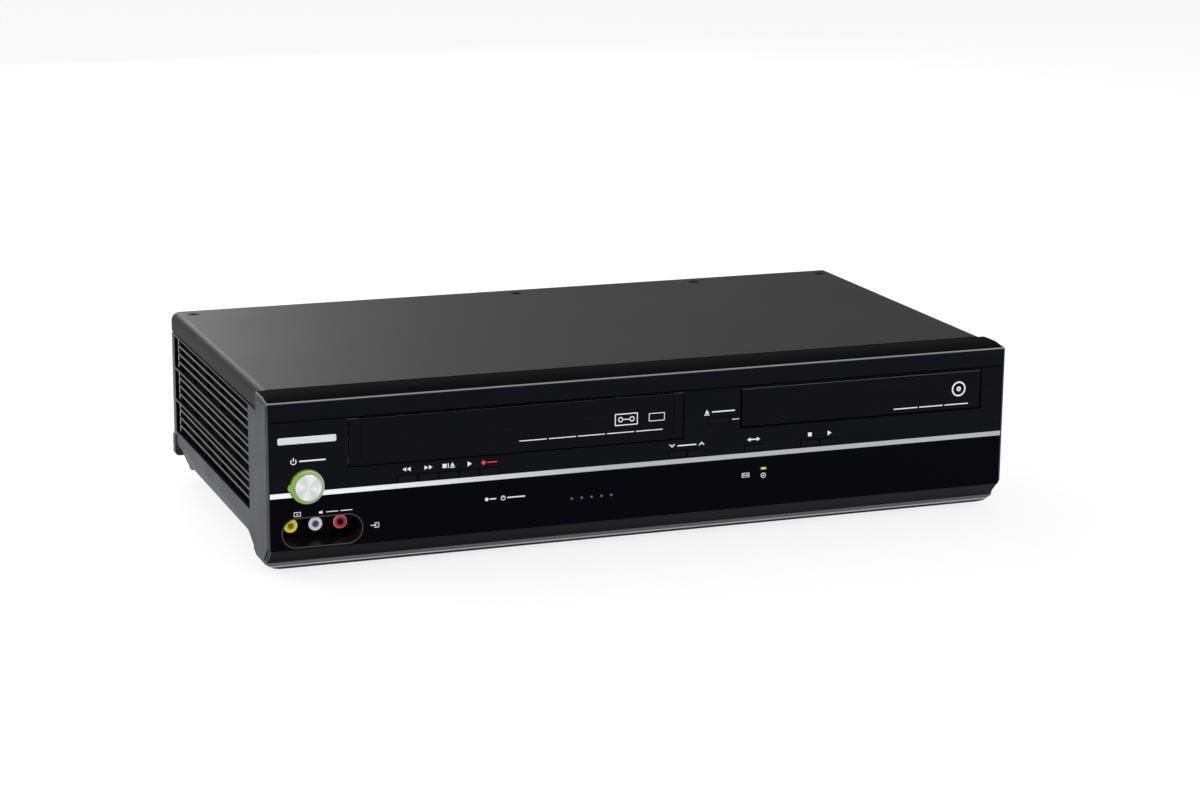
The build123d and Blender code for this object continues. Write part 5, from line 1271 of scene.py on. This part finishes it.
# %% Window signs
state_z = 35.2 * mm
dot_x = -96.2 * mm
timer_x = -86.8 * mm
window_cassette = (56.6 * mm, 35.6 * mm)
window_disc = (67.4 * mm, 34.6 * mm)
video_x = -201.8 * mm
speaker_x = -188.6 * mm
jack_sign_z = 36.4 * mm
input_x = -158.5 * mm
input_z = 26.6 * mm
screen_half = (1.9 * mm, 1.2 * mm)
bracket_half = 1.4 * mm
bracket = box_line(input_x - 1.2 * mm, input_x + 1.6 * mm, input_z - bracket_half, input_z + bracket_half,
                   0.35 * mm)
window_signs = [
    polygon(dot_x, state_z, 1.0 * mm, 24),
    *rule(dot_x + 1.8 * mm, dot_x + 5.4 * mm, state_z, stroke),
    ring(timer_x, state_z, 1.35 * mm, 0.4 * mm),
    bar(timer_x - 0.2 * mm, timer_x + 0.2 * mm, state_z, state_z + 0.95 * mm),
    *rule(timer_x + 2.4 * mm, timer_x + 12.6 * mm, state_z, stroke),
    *cassette_sign(*window_cassette, 4.6 * mm, 2.6 * mm, 0.3 * mm),
    *disc_sign(*window_disc, 1.5 * mm, 0.35 * mm),
    box_line(video_x - screen_half[0], video_x + screen_half[0], jack_sign_z - screen_half[1],
             jack_sign_z + screen_half[1], 0.32 * mm),
    arrow(video_x, jack_sign_z, 0.6 * mm, "right"),
    *rule(speaker_x - 1.3 * mm, speaker_x - 0.5 * mm, jack_sign_z, 1.1 * mm),
    arrow(speaker_x, jack_sign_z, 1.1 * mm, "left"),
    *rule(speaker_x + 2.6 * mm, speaker_x + 18.2 * mm, jack_sign_z, 0.4 * mm, 1),
    cut_faces(bracket, lambda face: face.center.x < input_x - mm),
    *rule(input_x - 3.0 * mm, input_x - 0.8 * mm, input_z, 0.4 * mm),
    arrow(input_x - 0.5 * mm, input_z, 0.85 * mm, "right"),
]
printed("window_signs", window_signs, print_white)

# %% [markdown]
# ## Sheets of painted shade
#
# The slots between the ribs go right through the side panels. A black sheet behind them stands for the
# shade in the slots and keeps them dark. It is a thin slab: a cube is scaled to size, the corners of its
# outline are rounded by a bevel of their edges, and its face edges may get a finer one.


# %% Slabs
def slab(name, x, y, z, corner, edge, along="Y"):
    """A flat piece with rounded corners: x, y and z are its low and high ends, and along is its thin way."""
    lows = Vector((x[0], y[0], z[0]))
    highs = Vector((x[1], y[1], z[1]))
    bpy.ops.mesh.primitive_cube_add(size=1, location=(lows + highs) / 2)
    piece = bpy.context.object
    piece.name = name
    piece.scale = highs - lows
    settle(piece)
    axis = "XYZ".index(along)
    bpy.context.tool_settings.mesh_select_mode = edge_mode
    for item in [*piece.data.vertices, *piece.data.polygons]:
        item.select = False
    for side in piece.data.edges:
        a, b = (piece.data.vertices[i].co for i in side.vertices)
        side.select = abs((a - b)[axis]) > 0.9 * (highs - lows)[axis]
    bpy.ops.object.mode_set(mode="EDIT")
    bpy.ops.mesh.bevel(offset=corner, segments=6, affect="EDGES")
    bpy.ops.object.mode_set(mode="OBJECT")
    soften(piece, edge)
    return piece


# %% Shade sheets
cloth_thick = 0.4 * mm
cloth_inset = 4.0 * mm
cloth_lead = 14 * mm
cloth_corner = 2 * mm
cloth_x = panel_face - cloth_inset
cloth_y = (recess_y[0] - cloth_lead, recess_y[1] - 1.2 * mm)
cloth_z = (recess_z[0] - mm, recess_z[1] + 0.5 * mm)
# A black sheet put behind each field of vents as painted shade.
shade_sheet = moulded("shade_sheet", (0.003, 0.003, 0.0032), 0.8, 0.8 * mm, 0.05 * mm, 0.02)
for side, name in ((-1, "left"), (1, "right")):
    cloth_ends = sorted((side * cloth_x, side * (cloth_x - cloth_thick)))
    cloth = slab(name + "_cloth", cloth_ends, cloth_y, cloth_z, cloth_corner, 0.0, "X")
    fitted(cloth, shade_sheet)

# %% [markdown]
# ## A bare plate
#
# The top left corner of the fascia has room for a small plate. It is a brushed slab like the cloths, but with
# small corners and with fine bevels, which catch the light all round.

# %% Bare plate
plate_x = (-212.0 * mm, -180.0 * mm)
plate_z = (74.9 * mm, 78.7 * mm)
plate_y = (front_y - 0.5 * mm, front_y + 0.5 * mm)
plate_silver = brushed("plate_silver", (0.7, 0.71, 0.73), 0.35)
plate = slab("blank_plate", plate_x, plate_y, plate_z, 0.9 * mm, 0.15 * mm)
fitted(plate, plate_silver)

# %% [markdown]
# ## Rings in the jacks
#
# Looking into a phono jack one sees a coloured face round a darker hollow, and between the two a thin rim
# of painted shade, darker than the face and lighter than the bore. At the rear the colour is an insert in a
# metal shell. Both are flat rings with a thickness: a circle, its border kept, and Solidify.


# %% Rings of the front jacks
ring_thick = 0.1 * mm
throat_radii = (2.1 * mm, 1.62 * mm)


def flat_rings(name, spots, outer, inner, y, finish, slot):
    """Flat rings about each spot, as one piece."""
    rings = [ring(x, z, outer, outer - inner, 36) for x, z in spots]
    piece = thickened(joined(name, rings), ring_thick, y)
    only(piece)
    bpy.ops.object.shade_smooth_by_angle(angle=sharp_angle)
    fitted(piece, finish)


for node, _, hollow, _ in front_jacks:
    # The throat is painted shade: a lighter copy of the bore's shaded colour.
    throat = lively(node + "_throat", shade(hollow, 2.2), 0.3)
    spots = [(middle_x(node), jack_z)]
    flat_rings(node + "_throat", spots, *throat_radii, jack_face_y, throat, slots[node])

# %% Inserts of the rear jacks
column_pitch = 14 * mm
columns = [middle_x("aerial_sockets") + i * column_pitch for i in range(6)]
rows = (27.7 * mm, 43.7 * mm)
phono_insert = (3.5 * mm, 1.6 * mm)
aerial_insert = (3.3 * mm, 1.0 * mm)
inserts = [
    ("video_inserts", "av_jacks", jack_yellow, phono_insert, [(1, 0), (1, 1)]),
    ("left_inserts", "av_jacks", jack_white, phono_insert, [(2, 0), (2, 1)]),
    ("right_inserts", "av_jacks", jack_red, phono_insert, [(3, 0), (3, 1)]),
    ("luma_inserts", "component_jacks", jack_green, phono_insert, [(4, 0), (5, 1)]),
    ("blue_inserts", "component_jacks", jack_blue, phono_insert, [(4, 1)]),
    ("red_inserts", "component_jacks", jack_red, phono_insert, [(5, 0)]),
    ("aerial_insulators", "aerial_sockets", natural_white, aerial_insert, [(0, 0), (0, 1)]),
]
for name, node, finish, radii, holes in inserts:
    spots = [(columns[column], rows[row]) for column, row in holes]
    flat_rings(name, spots, *radii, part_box(node)[1].y - ring_thick / 2, finish, slots[node])

# %% [markdown]
# ## Screws
#
# Screws hold the rear panel and the bottom. One pan head is modelled: a cylinder whose rim is bevelled, with
# a cross cut by two Boolean modifiers. It is then copied to each place, and the copies are joined.


# %% Screw heads
rim_angle = math.radians(60)


def screw_head(radius, height, slot_width):
    """A pan head that stands on the XY plane at the origin."""
    middle = (0, 0, height / 2)
    bpy.ops.mesh.primitive_cylinder_add(vertices=32, radius=radius, depth=height, location=middle)
    head = settle(bpy.context.object)
    modify(head, "BEVEL", width=0.35 * height, segments=3, limit_method="ANGLE", angle_limit=rim_angle)
    for long_x, long_y in ((1.25 * radius, slot_width), (slot_width, 1.25 * radius)):
        bpy.ops.mesh.primitive_cube_add(size=1, location=(0, 0, height))
        cutter = bpy.context.object
        cutter.scale = (long_x, long_y, height)
        settle(cutter)
        modify(head, "BOOLEAN", operation="DIFFERENCE", object=cutter, solver="EXACT")
        bpy.data.objects.remove(cutter)
    return head


def screws(name, spots, turn, radius, finish):
    """Copies of one head, each at its place and with its own twist, joined into one piece."""
    first = screw_head(radius, 0.45 * radius, 0.28 * radius)
    copies = []
    for number, spot in enumerate(spots):
        twist = Matrix.Rotation(0.7 * number, 4, "Z")
        piece = bpy.data.objects.new(name, first.data.copy())
        bpy.context.scene.collection.objects.link(piece)
        piece.data.transform(Matrix.Translation(spot) @ turn @ twist)
        copies.append(piece)
    bpy.data.objects.remove(first)
    piece = joined(name, copies)
    bpy.ops.object.shade_smooth_by_angle(angle=sharp_angle)
    fitted(piece, finish)


# %% Screws at the rear and below
screw_radius = 2.9 * mm
corner_inset = 14 * mm
low_row = 20 * mm
high_row = 84 * mm
between_rows = sum(rows) / 2
face_back = Matrix.Rotation(-math.pi / 2, 4, "X")
face_down = Matrix.Rotation(math.pi, 4, "X")
rear_places = [(side * (case_half - corner_inset), z) for side in (-1, 1) for z in (26 * mm, high_row)]
rear_places += [(-60 * mm, low_row), (20 * mm, high_row), (columns[0] - 8 * mm, between_rows),
                (columns[2] + 7 * mm, between_rows), (columns[4] + 7 * mm, between_rows)]
rear_spots = [(x, rear_face_y, z) for x, z in rear_places]
screws("rear_screws", rear_spots, face_back, screw_radius, screw_zinc)

floor_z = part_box("bottom_chassis")[0].z
floor_places = [(-150, -70), (0, -70), (150, -70), (-190, 20), (190, 20),
                (-120, 95), (0, 95), (120, 95), (-60, 20), (70, 10)]
floor_spots = [(x * mm, y * mm, floor_z) for x, y in floor_places]
screws("floor_screws", floor_spots, face_down, screw_radius, screw_black)
